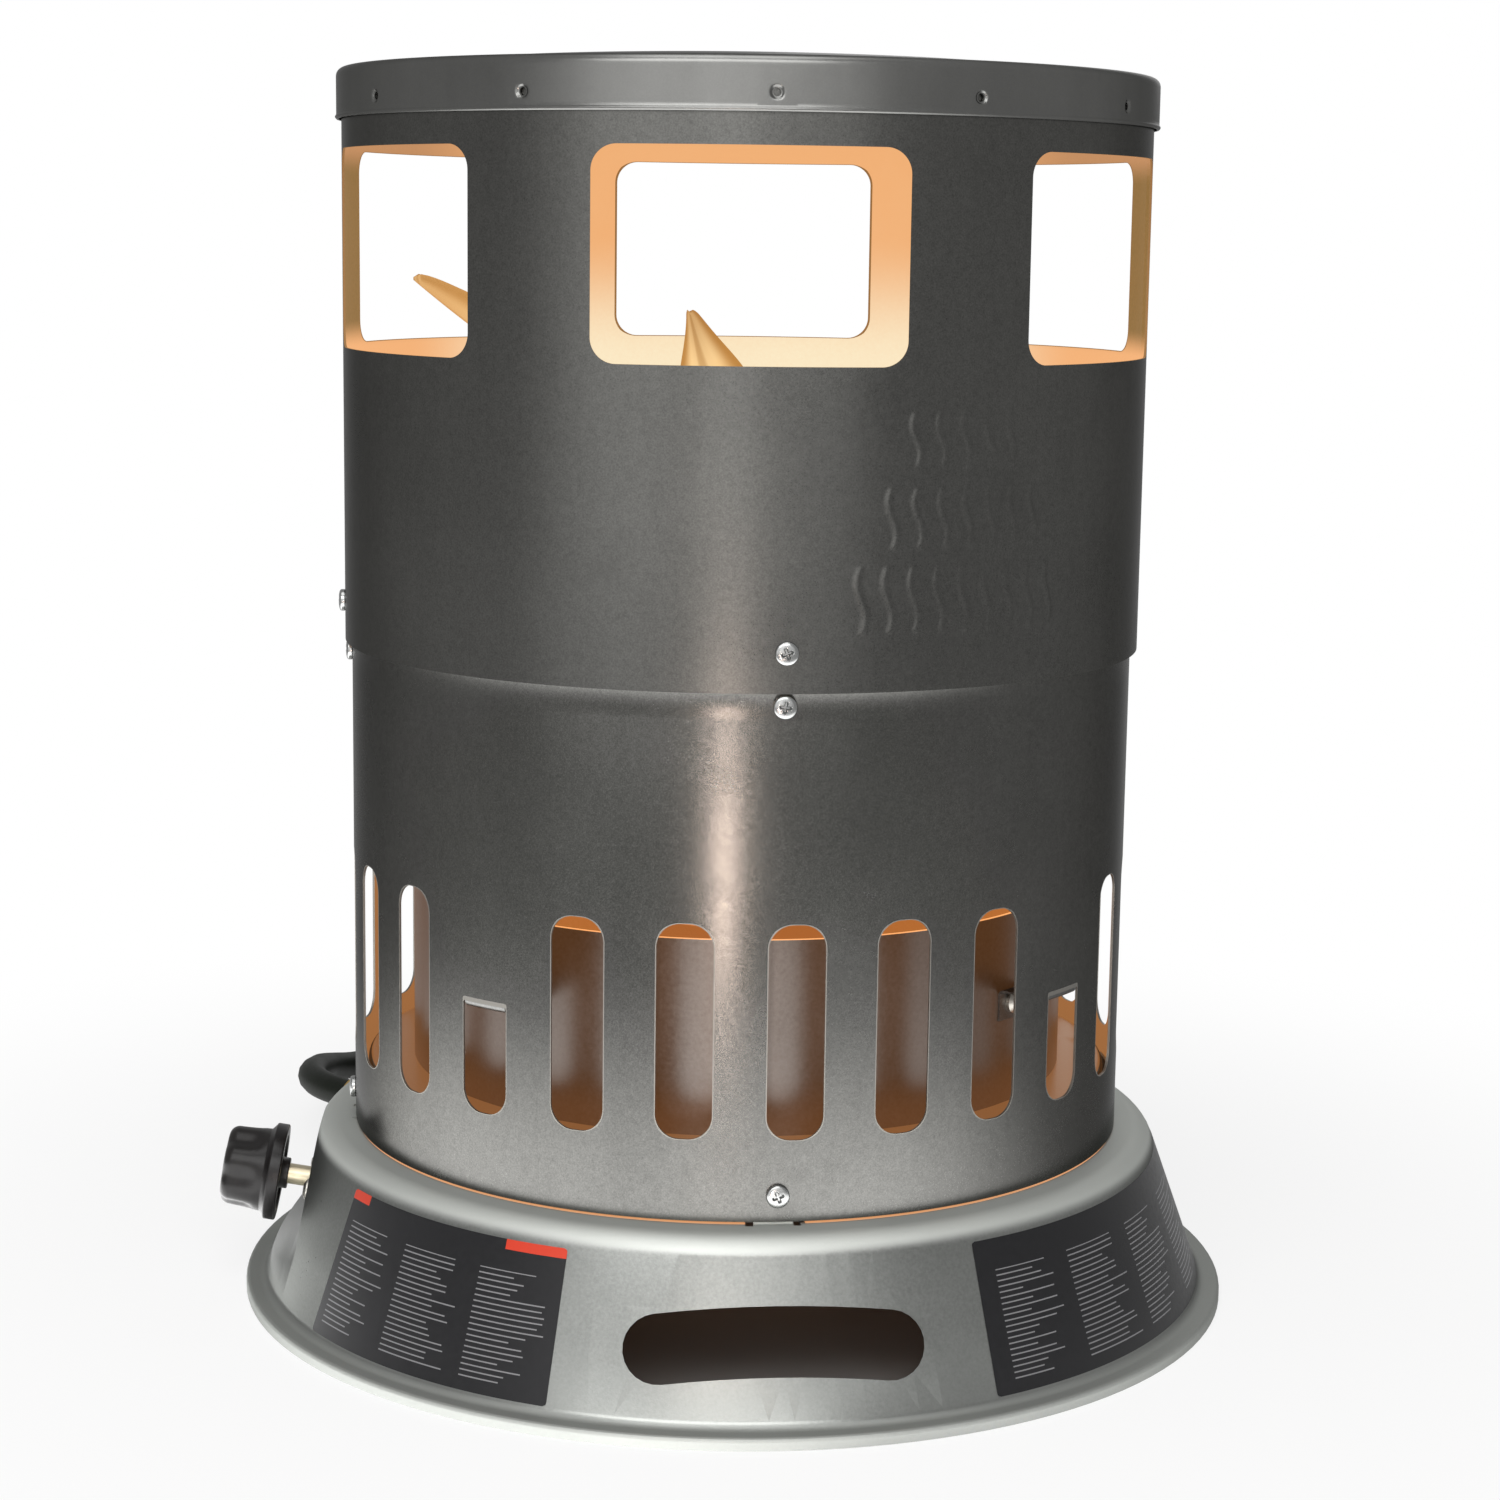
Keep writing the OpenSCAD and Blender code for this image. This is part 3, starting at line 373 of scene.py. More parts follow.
def band(skin, place, columns, rows, paint=0):
    """A stretch of plain wall: every column at every height."""
    skin.grid(place(columns[None, :], np.asarray(rows)[:, None]), paint)


def joined(skin, place, low_columns, low_z, high_columns, high_z, paint):
    """A row of triangles between two heights of a wall whose columns differ."""
    skin.zipper(
        place(low_columns, low_z), low_columns, place(high_columns, high_z), high_columns, paint)


def close_walls(skin, walls, hole_paint=0, end_paint=0):
    """Joins an outer and an inner wall round their holes and along their ends."""
    (outer_holes, *outer_ends), (inner_holes, *inner_ends) = walls
    for outer, inner in zip(outer_holes, inner_holes):
        skin.bridge(outer, inner, hole_paint, wrap=True)
    for outer, inner in zip(outer_ends, inner_ends):
        skin.bridge(outer, inner, end_paint)


# ---- shader maths -------------------------------------------------------------
def maths(operation, swap=False):
    """A method that does an operation between a Tone and another number."""
    def method(self, other):
        pair = (other, self) if swap else (self, other)
        return self.paint.node("ShaderNodeMath", {"operation": operation}, dict(enumerate(pair)))
    return method


class Tone:
    """A number in a shader that takes part in Python expressions."""

    def __init__(self, paint, socket):
        self.paint, self.socket = paint, socket

    __add__ = __radd__ = maths("ADD")
    __mul__ = __rmul__ = maths("MULTIPLY")
    __sub__, __rsub__ = maths("SUBTRACT"), maths("SUBTRACT", True)
    __truediv__, __rtruediv__ = maths("DIVIDE"), maths("DIVIDE", True)
    __pow__ = maths("POWER")
    __mod__ = maths("FLOORED_MODULO")
    __gt__, __lt__ = maths("GREATER_THAN"), maths("LESS_THAN")
    max = maths("MAXIMUM")

    def step(self, low, high):
        """0 at low, 1 at high, and smooth between them."""
        return self.paint.node(
            "ShaderNodeMapRange", {"interpolation_type": "SMOOTHSTEP"},
            {"Value": self, "From Min": low, "From Max": high})


class Tree:
    """A node tree whose nodes are added by calls."""

    def __init__(self, tree):
        self.tree = tree

    def node(self, kind, settings, inputs, output=0):
        """A node of that kind; its settings are set first, then its sockets are filled."""
        made = self.tree.nodes.new(kind)
        stops = settings.pop("stops", None)
        for key, value in settings.items():
            setattr(made, key, value)
        if stops:
            ramp = made.color_ramp.elements
            while len(ramp) < len(stops):
                ramp.new(1)
            for element, (at, shade) in zip(ramp, stops):
                element.position = at
                element.color = (*shade, 1)
        for key, value in inputs.items():
            self.fill(made.inputs[key], value)
        return Tone(self, made.outputs[output])

    def fill(self, socket, value):
        if isinstance(value, Tone):
            self.tree.links.new(value.socket, socket)
        elif hasattr(value, "__len__") and len(value) == 3 and socket.type == "RGBA":
            socket.default_value = (*value, 1)
        else:
            socket.default_value = value


class Paint(Tree):
    """A material with one Principled shader at its end."""

    def __init__(self, name, **constants):
        self.material = bpy.data.materials.new(name)
        self.material.use_nodes = True
        super().__init__(self.material.node_tree)
        self.shader = self.tree.nodes["Principled BSDF"]
        for socket, value in constants.items():
            self.put(socket.replace("_", " ").title().replace("Ior", "IOR"), value)
        self.place = self.node("ShaderNodeTexCoord", {}, {}, "Object")

    def put(self, socket, value):
        self.fill(self.shader.inputs[socket], value)

    def noise(self, scale, detail, roughness, stretch=None):
        at = self.place
        if stretch:
            at = self.node("ShaderNodeMapping", {}, {"Vector": at, "Scale": stretch})
        return self.node(
            "ShaderNodeTexNoise", {},
            {"Vector": at, "Scale": scale, "Detail": detail, "Roughness": roughness})

    def split(self, place, count):
        """The first numbers of a vector."""
        return [self.node("ShaderNodeSeparateXYZ", {}, {0: place}, k) for k in range(count)]

    def xyz(self):
        """The place on the piece."""
        return self.split(self.place, 3)

    def radius(self, x, y):
        """The distance from the heater's axis."""
        return (x * x + y * y) ** 0.5

    def map(self):
        """Both coordinates of the piece's own map."""
        return self.split(self.node("ShaderNodeUVMap", {"uv_map": "map"}, {}), 2)

    def mix(self, factor, first, second):
        """A colour between two others; the sockets are those that a colour Mix node uses."""
        settings = {"data_type": "RGBA", "blend_type": "MIX"}
        return self.node("ShaderNodeMix", settings, {0: factor, 6: first, 7: second}, 2)

    def ramp(self, factor, stops):
        return self.node("ShaderNodeValToRGB", {"stops": stops}, {"Fac": factor})

    def bump(self, height, strength, distance):
        self.put("Normal", self.node(
            "ShaderNodeBump", {},
            {"Height": height, "Strength": strength, "Distance": distance}))


# the tint of bare sheet where it is seen nearly edge on
EDGE_TINT = (0.42, 0.42, 0.42, 1)


def shade(tint, amount):
    """A colour times an amount, at most 1."""
    return tuple(min(1.0, c * amount) for c in tint)


def sheet_steel(name, tint, roughness, speckle=0.55):
    """Bare sheet: a fine speckle in the metal, wiped smudges, and a faint rolled grain."""
    paint = Paint(name, metallic=1.0, specular_tint=EDGE_TINT)
    grain, spangle = paint.noise(1700, 2, 0.7), paint.noise(420, 3, 0.6)
    rolled = paint.noise(60, 3, 0.6, (1, 1, 0.06))
    cloud = paint.noise(7, 5, 0.6)
    mark = paint.noise(22, 4, 0.7).step(0.54, 0.70)
    level = (0.5 + (grain - 0.5) * speckle * 1.6 + (spangle - 0.5) * speckle * 0.6
             + (cloud - 0.5) * 0.5 + (rolled - 0.5) * 0.15)
    base = paint.mix(level, shade(tint, 0.45), shade(tint, 1.55))
    paint.put("Base Color", paint.mix(mark * 0.2, base, shade(tint, 0.66)))
    paint.put("Roughness", roughness + (cloud - 0.5) * 0.14 + (grain - 0.5) * 0.06 + mark * 0.03)
    paint.bump(grain + rolled * 0.3, 0.1, 0.00008)
    return paint.material


def fire_lit(name, low_z, high_z, low, high, strength=0.92, side_light=None):
    """Inner face of the sheet: dull steel with the burner's light on it.

    The light goes from low to high with the height. With side_light, the two side walls take its
    three colours instead: at their foot, between the windows and above them.
    """
    tint = (0.10, 0.07, 0.045)
    paint = Paint(name, metallic=0.3, emission_strength=strength, specular_ior_level=0.1,
                  specular_tint=EDGE_TINT)
    x, y, z = paint.xyz()
    cloud = paint.noise(14, 4, 0.6)
    grain = paint.noise(800, 2, 0.6)
    rise = z.step(low_z, high_z) + (cloud - 0.5) * 0.18
    light = paint.mix(rise, low, high)
    if side_light:
        foot, between, above = side_light
        sill, head = WINDOW_Z - WINDOW_HEIGHT / 2, WINDOW_Z + WINDOW_HEIGHT / 2
        across = paint.mix(z.step(sill - 2 * MM, sill + 9 * MM), foot, between)
        across = paint.mix(z.step(head - 9 * MM, head + 2 * MM), across, above)
        light = paint.mix((x * x / (x * x + y * y)).step(0.3, 0.8), light, across)
    paint.put("Base Color", paint.mix(grain, shade(tint, 0.8), shade(tint, 1.2)))
    paint.put("Roughness", 0.6 + (cloud - 0.5) * 0.2)
    paint.put("Emission Color", paint.mix(grain * 0.18, light, shade(high, 0.7)))
    paint.bump(grain, 0.25, 0.0001)
    return paint.material


def plated(name, tint, roughness, wear=0.3):
    """Plated or turned metal with faint turning lines and dull patches."""
    paint = Paint(name, metallic=1.0)
    fine = paint.noise(700, 3, 0.6)
    patch = paint.noise(45, 4, 0.6)
    paint.put("Base Color", paint.mix(patch * wear, tint, shade(tint, 0.5)))
    paint.put("Roughness", roughness + patch * 0.18 + (fine - 0.5) * 0.1)
    paint.bump(fine, 0.2, 0.00008)
    return paint.material


def moulded(name, tint, roughness, grain_size, gloss):
    """Moulded plastic or rubber with a fine grain and a little dust in it."""
    paint = Paint(name, specular_ior_level=gloss)
    fine = paint.noise(grain_size, 2, 0.6)
    dust = paint.noise(30, 5, 0.7)
    paint.put("Base Color", paint.mix(dust.step(0.5, 0.8) * 0.2, tint, (0.05, 0.047, 0.042)))
    paint.put("Roughness", roughness + (dust - 0.5) * 0.2 + (fine - 0.5) * 0.1)
    paint.bump(fine, 0.3, 0.00015)
    return paint.material


def cast(name, tint, roughness, glow=0.0):
    """Sand-cast metal: pitted all over, with rust in the hollows."""
    paint = Paint(name, metallic=0.6, emission_strength=glow, emission_color=(0.42, 0.13, 0.03, 1))
    pits = paint.noise(350, 4, 0.65)
    rust = paint.noise(40, 5, 0.7).step(0.52, 0.7)
    paint.put("Base Color", paint.mix(rust * 0.6, tint, (0.16, 0.055, 0.02)))
    paint.put("Roughness", roughness + (pits - 0.5) * 0.2)
    paint.bump(pits, 0.6, 0.0005)
    return paint.material


def enamel(name, tint):
    """Sprayed enamel with an orange-peel skin."""
    paint = Paint(name, coat_weight=0.6, coat_roughness=0.12)
    peel = paint.noise(260, 2, 0.5)
    cloud = paint.noise(25, 4, 0.6)
    paint.put("Base Color", paint.mix(cloud * 0.4, tint, shade(tint, 0.6)))
    paint.put("Roughness", 0.3 + cloud * 0.12)
    paint.bump(peel, 0.25, 0.0003)
    return paint.material


def tinted_and_firelit_sheet(name):
    """Sheet in the flame: straw, orange and brown heat tints, lit most in the middle of an ear."""
    paint = Paint(name, metallic=0.25, emission_strength=0.9, specular_ior_level=0.15,
                  specular_tint=EDGE_TINT)
    across, along = paint.map()
    cloud = paint.noise(18, 4, 0.6)
    grain = paint.noise(600, 2, 0.6)
    tint = paint.ramp(cloud, [(0.3, (0.16, 0.09, 0.03)), (0.6, (0.22, 0.14, 0.06))])
    paint.put("Base Color", tint)
    paint.put("Roughness", 0.42 + (grain - 0.5) * 0.12)
    # painted shade on the firelight: darker along an ear's edges, partly along its middle past the
    # root, and towards its tip
    bow = across * across
    side = bow.step(0.3, 0.9) + 0.55 * (1 - bow.step(0.0, 0.10)) * along.step(0.0, 0.1)
    light = paint.mix(cloud.step(0.35, 0.65) * 0.4, (1.0, 0.70, 0.34), (0.90, 0.50, 0.17))
    light = paint.mix(side * 0.9, light, (0.40, 0.17, 0.025))
    paint.put("Emission Color", paint.mix(along.step(0.3, 1.0) * 0.6, light, (0.36, 0.17, 0.05)))
    paint.bump(grain, 0.25, 0.0001)
    return paint.material


# the number of printed rules from the foot of a label to its top
LABEL_ROWS = 27


def label_film(name, columns, blocks):
    """Printed film: a dark ground with columns of plain pale rules, and plain red blocks."""
    film = chosen("label")
    paint = Paint(name, specular_ior_level=0.3)
    u, v = paint.map()
    row = v * LABEL_ROWS
    at = row - row % 1
    cell = u * columns
    column = cell - cell % 1
    reach = paint.node(
        "ShaderNodeTexWhiteNoise", {"noise_dimensions": "1D"},
        {"W": at * 7.31 + column * 3.17}, "Value")
    on_row = (row % 1 > 0.42) * (row % 1 < 0.66)
    on_cell = (cell % 1 > 0.08) * (cell % 1 < 0.45 + reach * 0.47)
    body = (v > 0.08) * (v < 0.8) * (u > 0.04) * (u < 0.96)
    rules = on_row * on_cell * body
    ground = paint.noise(500, 2, 0.5)
    dark = paint.mix(ground * 0.5, film, shade(film, 1.8))
    shown = paint.mix(rules * 0.85, dark, (0.24, 0.24, 0.25))
    for left, right, low, high in blocks:
        inside = (u > left) * (u < right) * (v > low) * (v < high)
        shown = paint.mix(inside, shown, chosen("label_red"))
    paint.put("Base Color", shown)
    paint.put("Roughness", 0.34 + (ground - 0.5) * 0.15)
    paint.bump(ground, 0.1, 0.00005)
    return paint.material


# ---- stage: camera, floor, light ----------------------------------------------
CAMERA_PLACE = Vector((-0.0111, -1.1573, 0.397))
CAMERA_LENS = 74.49
CAMERA_PITCH, CAMERA_YAW, CAMERA_ROLL, CAMERA_TURN = 9.506, 0.190, 0.775, -0.55


def make_camera():
    """Looks along azimuth yaw + turn, pitched down, then rolled about its own line of sight."""
    pitch, roll = math.radians(CAMERA_PITCH), math.radians(CAMERA_ROLL)
    yaw = math.radians(CAMERA_YAW)
    ahead = Vector((
        math.sin(yaw) * math.cos(pitch), math.cos(yaw) * math.cos(pitch), -math.sin(pitch)))
    ahead.rotate(Matrix.Rotation(math.radians(CAMERA_TURN), 3, "Z"))
    right = ahead.cross(Vector((0, 0, 1))).normalized()
    up = right.cross(ahead)
    side = right * math.cos(roll) + up * math.sin(roll)
    top = up * math.cos(roll) - right * math.sin(roll)
    data = bpy.data.cameras.new("camera")
    data.lens, data.sensor_width, data.clip_start = CAMERA_LENS, 36, 0.05
    camera = bpy.data.objects.new("camera", data)
    turn = Matrix((side, top, -ahead)).transposed()
    camera.matrix_world = Matrix.Translation(CAMERA_PLACE) @ turn.to_4x4()
    bpy.context.scene.collection.objects.link(camera)
    bpy.context.scene.camera = camera


# each lamp: azimuth, distance, height; height that it faces; width, height; power; colour
LAMPS = {
    "key": ((-4.1, 0.75, 0.066), 0.2, (0.03, 0.13), 0.5, (1, 0.80, 0.70)),
    "strip": ((-4, 1.25, 0.30), 0.3, (0.25, 0.5), 0.45, (1, 1, 1)),
    "left": ((-38, 1.4, 0.3), 0.3, (0.9, 0.6), 0.7, (1, 1, 1)),
    "front": ((-8, 1.6, 0.45), 0.3, (2.5, 0.8), 4.6, (1, 1, 1)),
    "shoulder": ((-10, 1.3, 1.1), 0.1, (1.5, 0.7), 14, (1, 1, 1)),
    "back": ((165, 1.6, 0.9), 0.25, (0.8, 0.8), 2, (1, 1, 1)),
    "above": ((-12, 0.4, 1.6), 0.3, (0.8, 0.8), 6, (1, 1, 1)),
}


def make_lamps():
    """Area lamps that face a point on the heater's axis and that the camera doesn't see."""
    for name, ((az, distance, height), faced, (width, tall), power, tint) in LAMPS.items():
        data = bpy.data.lights.new(name, "AREA")
        data.shape, data.size, data.size_y = "RECTANGLE", width, tall
        data.energy, data.color = power, tint
        lamp = bpy.data.objects.new(name, data)
        lamp.visible_camera = False
        lamp.location = Vector(polar(distance, az, height))
        ahead = Vector((0, 0, faced)) - lamp.location
        lamp.rotation_euler = ahead.to_track_quat("-Z", "Y").to_euler()
        bpy.context.scene.collection.objects.link(lamp)


# the side of the floor that shines in the metal, and how much it shines there and elsewhere
FLOOR_AZ, FLOOR_GLOW, FLOOR_DIM = -28, 3.9, 0.5


def make_floor():
    """A round pale floor at height 0, out to 4 m."""
    skin = Skin()
    r = np.linspace(0, 4, 9)[:, None]
    skin.grid(polar(r, np.linspace(0, 360, 73)[None, :], 0.0 * r - 0.0002))
    mesh = skin.mesh("floor")
    paint = Paint("floor", roughness=0.9)
    x, y, z = paint.xyz()
    r = paint.radius(x, y)
    seen, shone = [
        paint.node("ShaderNodeLightPath", {}, {}, f"Is {ray} Ray") for ray in ("Camera", "Glossy")]
    outside = r.step(BASE_R * 0.96, BASE_R * 1.0)
    # painted shade: the floor under the heater is dark
    paint.put("Base Color", paint.mix(outside, (0.30, 0.29, 0.28), (0.86, 0.86, 0.86)))
    far = outside * (0.8 + 0.2 * r.step(BASE_R * 1.1, BASE_R * 3.2))
    # painted reflection: to glossy rays the floor glows, brightest on one side near the heater and
    # dim elsewhere
    a = math.radians(FLOOR_AZ)
    ahead = (x * math.sin(a) - y * math.cos(a)) / r.max(0.01)
    beside = 0.6 * (1 - r.step(BASE_R * 1.02, BASE_R * 1.14))
    wide, narrow = ahead.step(-0.5, 0.6), ahead.step(0.7, 0.97)
    near = (1 - r.step(BASE_R * 2.1, BASE_R * 3.6)) * (wide + beside * (narrow - wide))
    white, bright, dim = [
        paint.node("ShaderNodeEmission", {}, {"Color": (1, 1, 1), "Strength": strength})
        for strength in (1.0, FLOOR_GLOW, FLOOR_DIM)]
    mirrored = paint.node("ShaderNodeMixShader", {}, {0: near, 1: dim, 2: bright})
    body = Tone(paint, paint.shader.outputs[0])
    lit = paint.node("ShaderNodeMixShader", {}, {0: shone * outside, 1: body, 2: mirrored})
    both = paint.node("ShaderNodeMixShader", {}, {0: seen * far, 1: lit, 2: white})
    paint.fill(paint.tree.nodes["Material Output"].inputs["Surface"], both)
    floor = bpy.data.objects.new("floor", mesh)
    mesh.materials.append(paint.material)
    bpy.context.scene.collection.objects.link(floor)


SOFT_LIGHT, SHONE_SHARE = 0.30, 0.24


def make_world():
    """White to the camera and partly in reflections, softer as a light."""
    world = bpy.data.worlds.new("studio")
    bpy.context.scene.world = world
    world.use_nodes = True
    world.node_tree.nodes.clear()
    sky = Tree(world.node_tree)
    soft, white = [
        sky.node("ShaderNodeBackground", {}, {"Color": (1, 1, 1), "Strength": strength})
        for strength in (SOFT_LIGHT, 1.0)]
    seen, shone, through = [
        sky.node("ShaderNodeLightPath", {}, {}, f"Is {ray} Ray")
        for ray in ("Camera", "Glossy", "Transmission")]
    share = seen.max(shone * SHONE_SHARE).max(through)
    mixed = sky.node("ShaderNodeMixShader", {}, {0: share, 1: soft, 2: white})
    sky.fill(sky.tree.nodes.new("ShaderNodeOutputWorld").inputs["Surface"], mixed)


# ---- hose ---------------------------------------------------------------------
# the same points as the CAD's hose, in metres
HOSE_START = (-0.162, 0.1289, 0.030)
HOSE_ROUTE = [
    (-0.16512, 0.13135, 0.0300), (-0.1725, 0.1387, 0.0300), (-0.1786, 0.1477, 0.0298),
    (-0.1827, 0.1578, 0.0293), (-0.1846, 0.1685, 0.0283), (-0.1850, 0.1800, 0.0266),
    (-0.1846, 0.1930, 0.0242), (-0.1840, 0.2060, 0.0212), (-0.1823, 0.2190, 0.0180),
    (-0.1796, 0.2320, 0.0146), (-0.1759, 0.2450, 0.0114), (-0.1716, 0.2580, 0.0089),
    (-0.1675, 0.2700, 0.0072), (-0.1634, 0.2820, 0.0065), (-0.1594, 0.2940, 0.00625),
    (-0.1554, 0.3064, 0.00625),
]
TAIL_ROUTE = [
    (-0.0273, 0.3534, 0.0188), (-0.0170, 0.3474, 0.0190), (-0.0065, 0.3414, 0.0204),
    (0.0040, 0.3354, 0.0230), (0.0125, 0.3304, 0.0251), (0.0195, 0.3264, 0.0260),
    (0.0264, 0.3224, 0.0260),
]
COIL_AT = (-0.072, 0.276)
COIL_START, LOWER_TURN, RISE_TURN, UPPER_TURN = 160.0, 1080.0, 80.0, 1100.0
COIL_OUTSIDE, COIL_INSIDE = 0.08875, 0.05125
TIE_AZ = (190.2, 197.8)


def coil_points(diameter):
    """Clockwise turns: inwards on the floor, up one diameter, and outwards on top."""
    total = LOWER_TURN + RISE_TURN + UPPER_TURN
    turn = np.linspace(0, total, int(total / 7.5) + 1)[1:-1]
    pitch = diameter / 360
    on_top = LOWER_TURN + RISE_TURN
    r = np.where(turn < on_top, COIL_INSIDE, COIL_INSIDE + (turn - on_top) * pitch)
    r = np.where(turn < LOWER_TURN, COIL_OUTSIDE - turn * pitch, r)
    rise = np.clip((turn - LOWER_TURN) / RISE_TURN, 0, 1)
    z = diameter / 2 + diameter * rise
    angle = np.radians(COIL_START - turn)
    return np.stack([COIL_AT[0] + r * np.cos(angle), COIL_AT[1] + r * np.sin(angle), z], axis=1)


def smooth_through(points, steps):
    """Catmull-Rom curve: each stretch is the cubic through its ends with its neighbours' slope."""
    p = np.vstack([2 * points[0] - points[1], points, 2 * points[-1] - points[-2]])
    t = (np.arange(steps) / steps)[None, :, None]
    a, b, c, d = [p[k: len(p) - 3 + k][:, None] for k in range(4)]
    curve = 0.5 * (2 * b + (c - a) * t + (2 * a - 5 * b + 4 * c - d) * t**2
                   + (3 * b - a - 3 * c + d) * t**3)
    return np.vstack([curve.reshape(-1, 3), points[-1:]])


def make_hose():
    """One curve with a round section: out of the fitting, round the coil and to the regulator."""
    size = sizes()
    way_in = smooth_through(np.array([HOSE_START] + HOSE_ROUTE), 4)
    way_out = smooth_through(np.array(TAIL_ROUTE), 4)
    line = np.vstack([way_in, coil_points(size.hose_diameter), way_out])
    curve = bpy.data.curves.new("gas_line", "CURVE")
    curve.dimensions = "3D"
    curve.bevel_depth, curve.bevel_resolution = size.hose_diameter / 2, 5
    curve.use_fill_caps = True
    spline = curve.splines.new("POLY")
    spline.points.add(len(line) - 1)
    spline.points.foreach_set("co", np.hstack([line, np.ones((len(line), 1))]).ravel())
    spline.use_smooth = True
    hose = bpy.data.objects.new("gas_line", curve)
    bpy.context.scene.collection.objects.link(hose)
    curve.materials.append(moulded("hose_rubber", chosen("rubber"), 0.5, 700, 0.16))
    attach(hose, "heater")
    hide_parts("gas_hose", "hose_coil", "tail_hose")
    tie = make_tie(size.hose_diameter)


def make_tie(diameter):
    """A strap over the turns: up, over in four shallow waves, and down."""
    clear, thick, foot, bend = 0.2 * MM, 1.1 * MM, 0.6 * MM, 5 * MM
    low, high = COIL_INSIDE - diameter / 2 - clear, COIL_OUTSIDE + diameter / 2 + clear
    top = 2 * diameter + clear
    over = np.linspace(low + bend, high - bend, 40)
    wave = 0.0003 * (np.cos(2 * np.pi * (over - COIL_INSIDE) / diameter) - 1)
    line = np.vstack([
        [(low, foot)], arc((low + bend, top - bend), bend, 180, 90, 8),
        np.stack([over, top + wave], axis=1)[1:-1],
        arc((high - bend, top - bend), bend, 90, 0, 8), [(high, foot)],
    ])
    skin = Skin()
    strip_sector(skin, line, thick, *TIE_AZ, 12)
    skin.points = [points + (*COIL_AT, 0) for points in skin.points]
    nylon = moulded("strap_nylon", (0.02, 0.02, 0.02), 0.36, 1500, 0.4)
    return skin.piece("coil_strap", [nylon], "hose_tie", "tie")


# ---- lid ----------------------------------------------------------------------
def punch_distance(az, z, radius, level):
    """Distance over the rim to the nearest punched hole."""
    gap = np.min([np.abs((az - punch + 180) % 360 - 180) for punch in PUNCHES], axis=0)
    return np.hypot(np.radians(gap) * radius, z - level)


def make_lid():
    """A spun profile whose radius drops by the dimple's depth, in a smooth step, at each hole."""
    size = sizes()
    level, edge, half_cell = RIM_LOW + 6 * MM, 2.6, 4.4 * MM
    counts = (0, 8, 2)
    punch_r, floor_r, pit_r = 1.3 * MM, 1.5 * MM, 2.6 * MM
    cell = Cell(punch_r, level - punch_r, level + punch_r, punch_r, edge, level - half_cell,
                level + half_cell, LID_R, counts)
    outline = hole(punch_r, level - punch_r, level + punch_r, punch_r, punch_r, counts)
    spans, columns = [], []
    for punch, after in zip(PUNCHES, PUNCHES[1:] + (PUNCHES[0] + 360,)):
        span = np.linspace(punch + edge, after - edge, 23)
        spans.append(span)
        columns += [punch + cell.columns[:-1], span[:-1]]
    columns = np.concatenate(columns + [[PUNCHES[0] + 360 + cell.columns[0]]])

    def wall(radius):
        def place(az, z):
            d = punch_distance(az, z, LID_R, level)
            pit = smoothstep(-pit_r, -floor_r, -d)
            return polar(radius - size.dimple_depth * pit, az, z)
        return place

    bend, bead, bead_height = 3 * MM, 0.45 * MM, 1.5 * MM
    over = np.vstack([
        arc((LID_R - bend, LID_TOP - bend), bend, 0, 90, 10),
        smooth_line([
            (LID_R - 12 * MM, LID_TOP), (LID_R - 16 * MM, LID_TOP - 1.6 * MM),
            (LID_R - 20 * MM, LID_TOP - 1.6 * MM), (LID_R - 28 * MM, LID_TOP + 1.5 * MM),
            (LID_R * 0.5, LID_TOP + 4.4 * MM), (0.0, LID_HIGH.z),
        ], 8),
    ])
    under = offset_line(over, SHEET)
    under[-1, 0] = 0
    skin, walls = Skin(), []
    for radius, line, rim in ((LID_R, over, bead), (LID_R - SHEET, under, 0)):
        place = wall(radius)
        edges = [cell_panel(skin, place, cell, outline, punch, radius, 0, 14)
                 for punch in PUNCHES]
        for span in spans:
            band(skin, place, span, cell.levels())
        low = np.linspace(RIM_LOW, cell.z_low, 9)
        swell = rim * np.sin(np.pi * np.clip((low - RIM_LOW) / bead_height, 0, 1))
        rim_rows = place(columns[None, :], low[:, None])
        skin.grid(rim_rows + polar(1.0, columns[None, :], 0.0) * swell[:, None, None])
        above = np.linspace(cell.z_high, line[0, 1], 8)
        skin.grid(place(columns[None, :], above[:, None]))
        skin.grid(np.concatenate([
            place(columns[None, :], line[:1, 1:]), polar(line[1:, :1], columns, line[1:, 1:])]))
        walls.append((edges, rim_rows[0]))
    close_walls(skin, walls)
    steel = sheet_steel("lid_steel", shade(chosen("lid"), 1.1), 0.31, 0.12)
    skin.piece("lid_sheet", [steel], "top_cover", "lid")


def smooth_line(points, steps):
    """The Catmull-Rom curve through points in a plane."""
    flat = np.array(points, float)
    return smooth_through(np.hstack([flat, np.zeros((len(flat), 1))]), steps)[:, :2]


# ---- shells -------------------------------------------------------------------
# rows of raised waves: lowest and highest level, first and last azimuth
WAVE_ROWS = (
    (320 * MM, 340 * MM, 19.6, 39.3), (293 * MM, 315 * MM, 16.7, 43.2),
    (265 * MM, 289 * MM, 11.3, 47.8),
)
WAVE_PITCH, WAVE_SWING, WAVE_RIDGE = 9.4 * MM, 1.6 * MM, 1.9 * MM


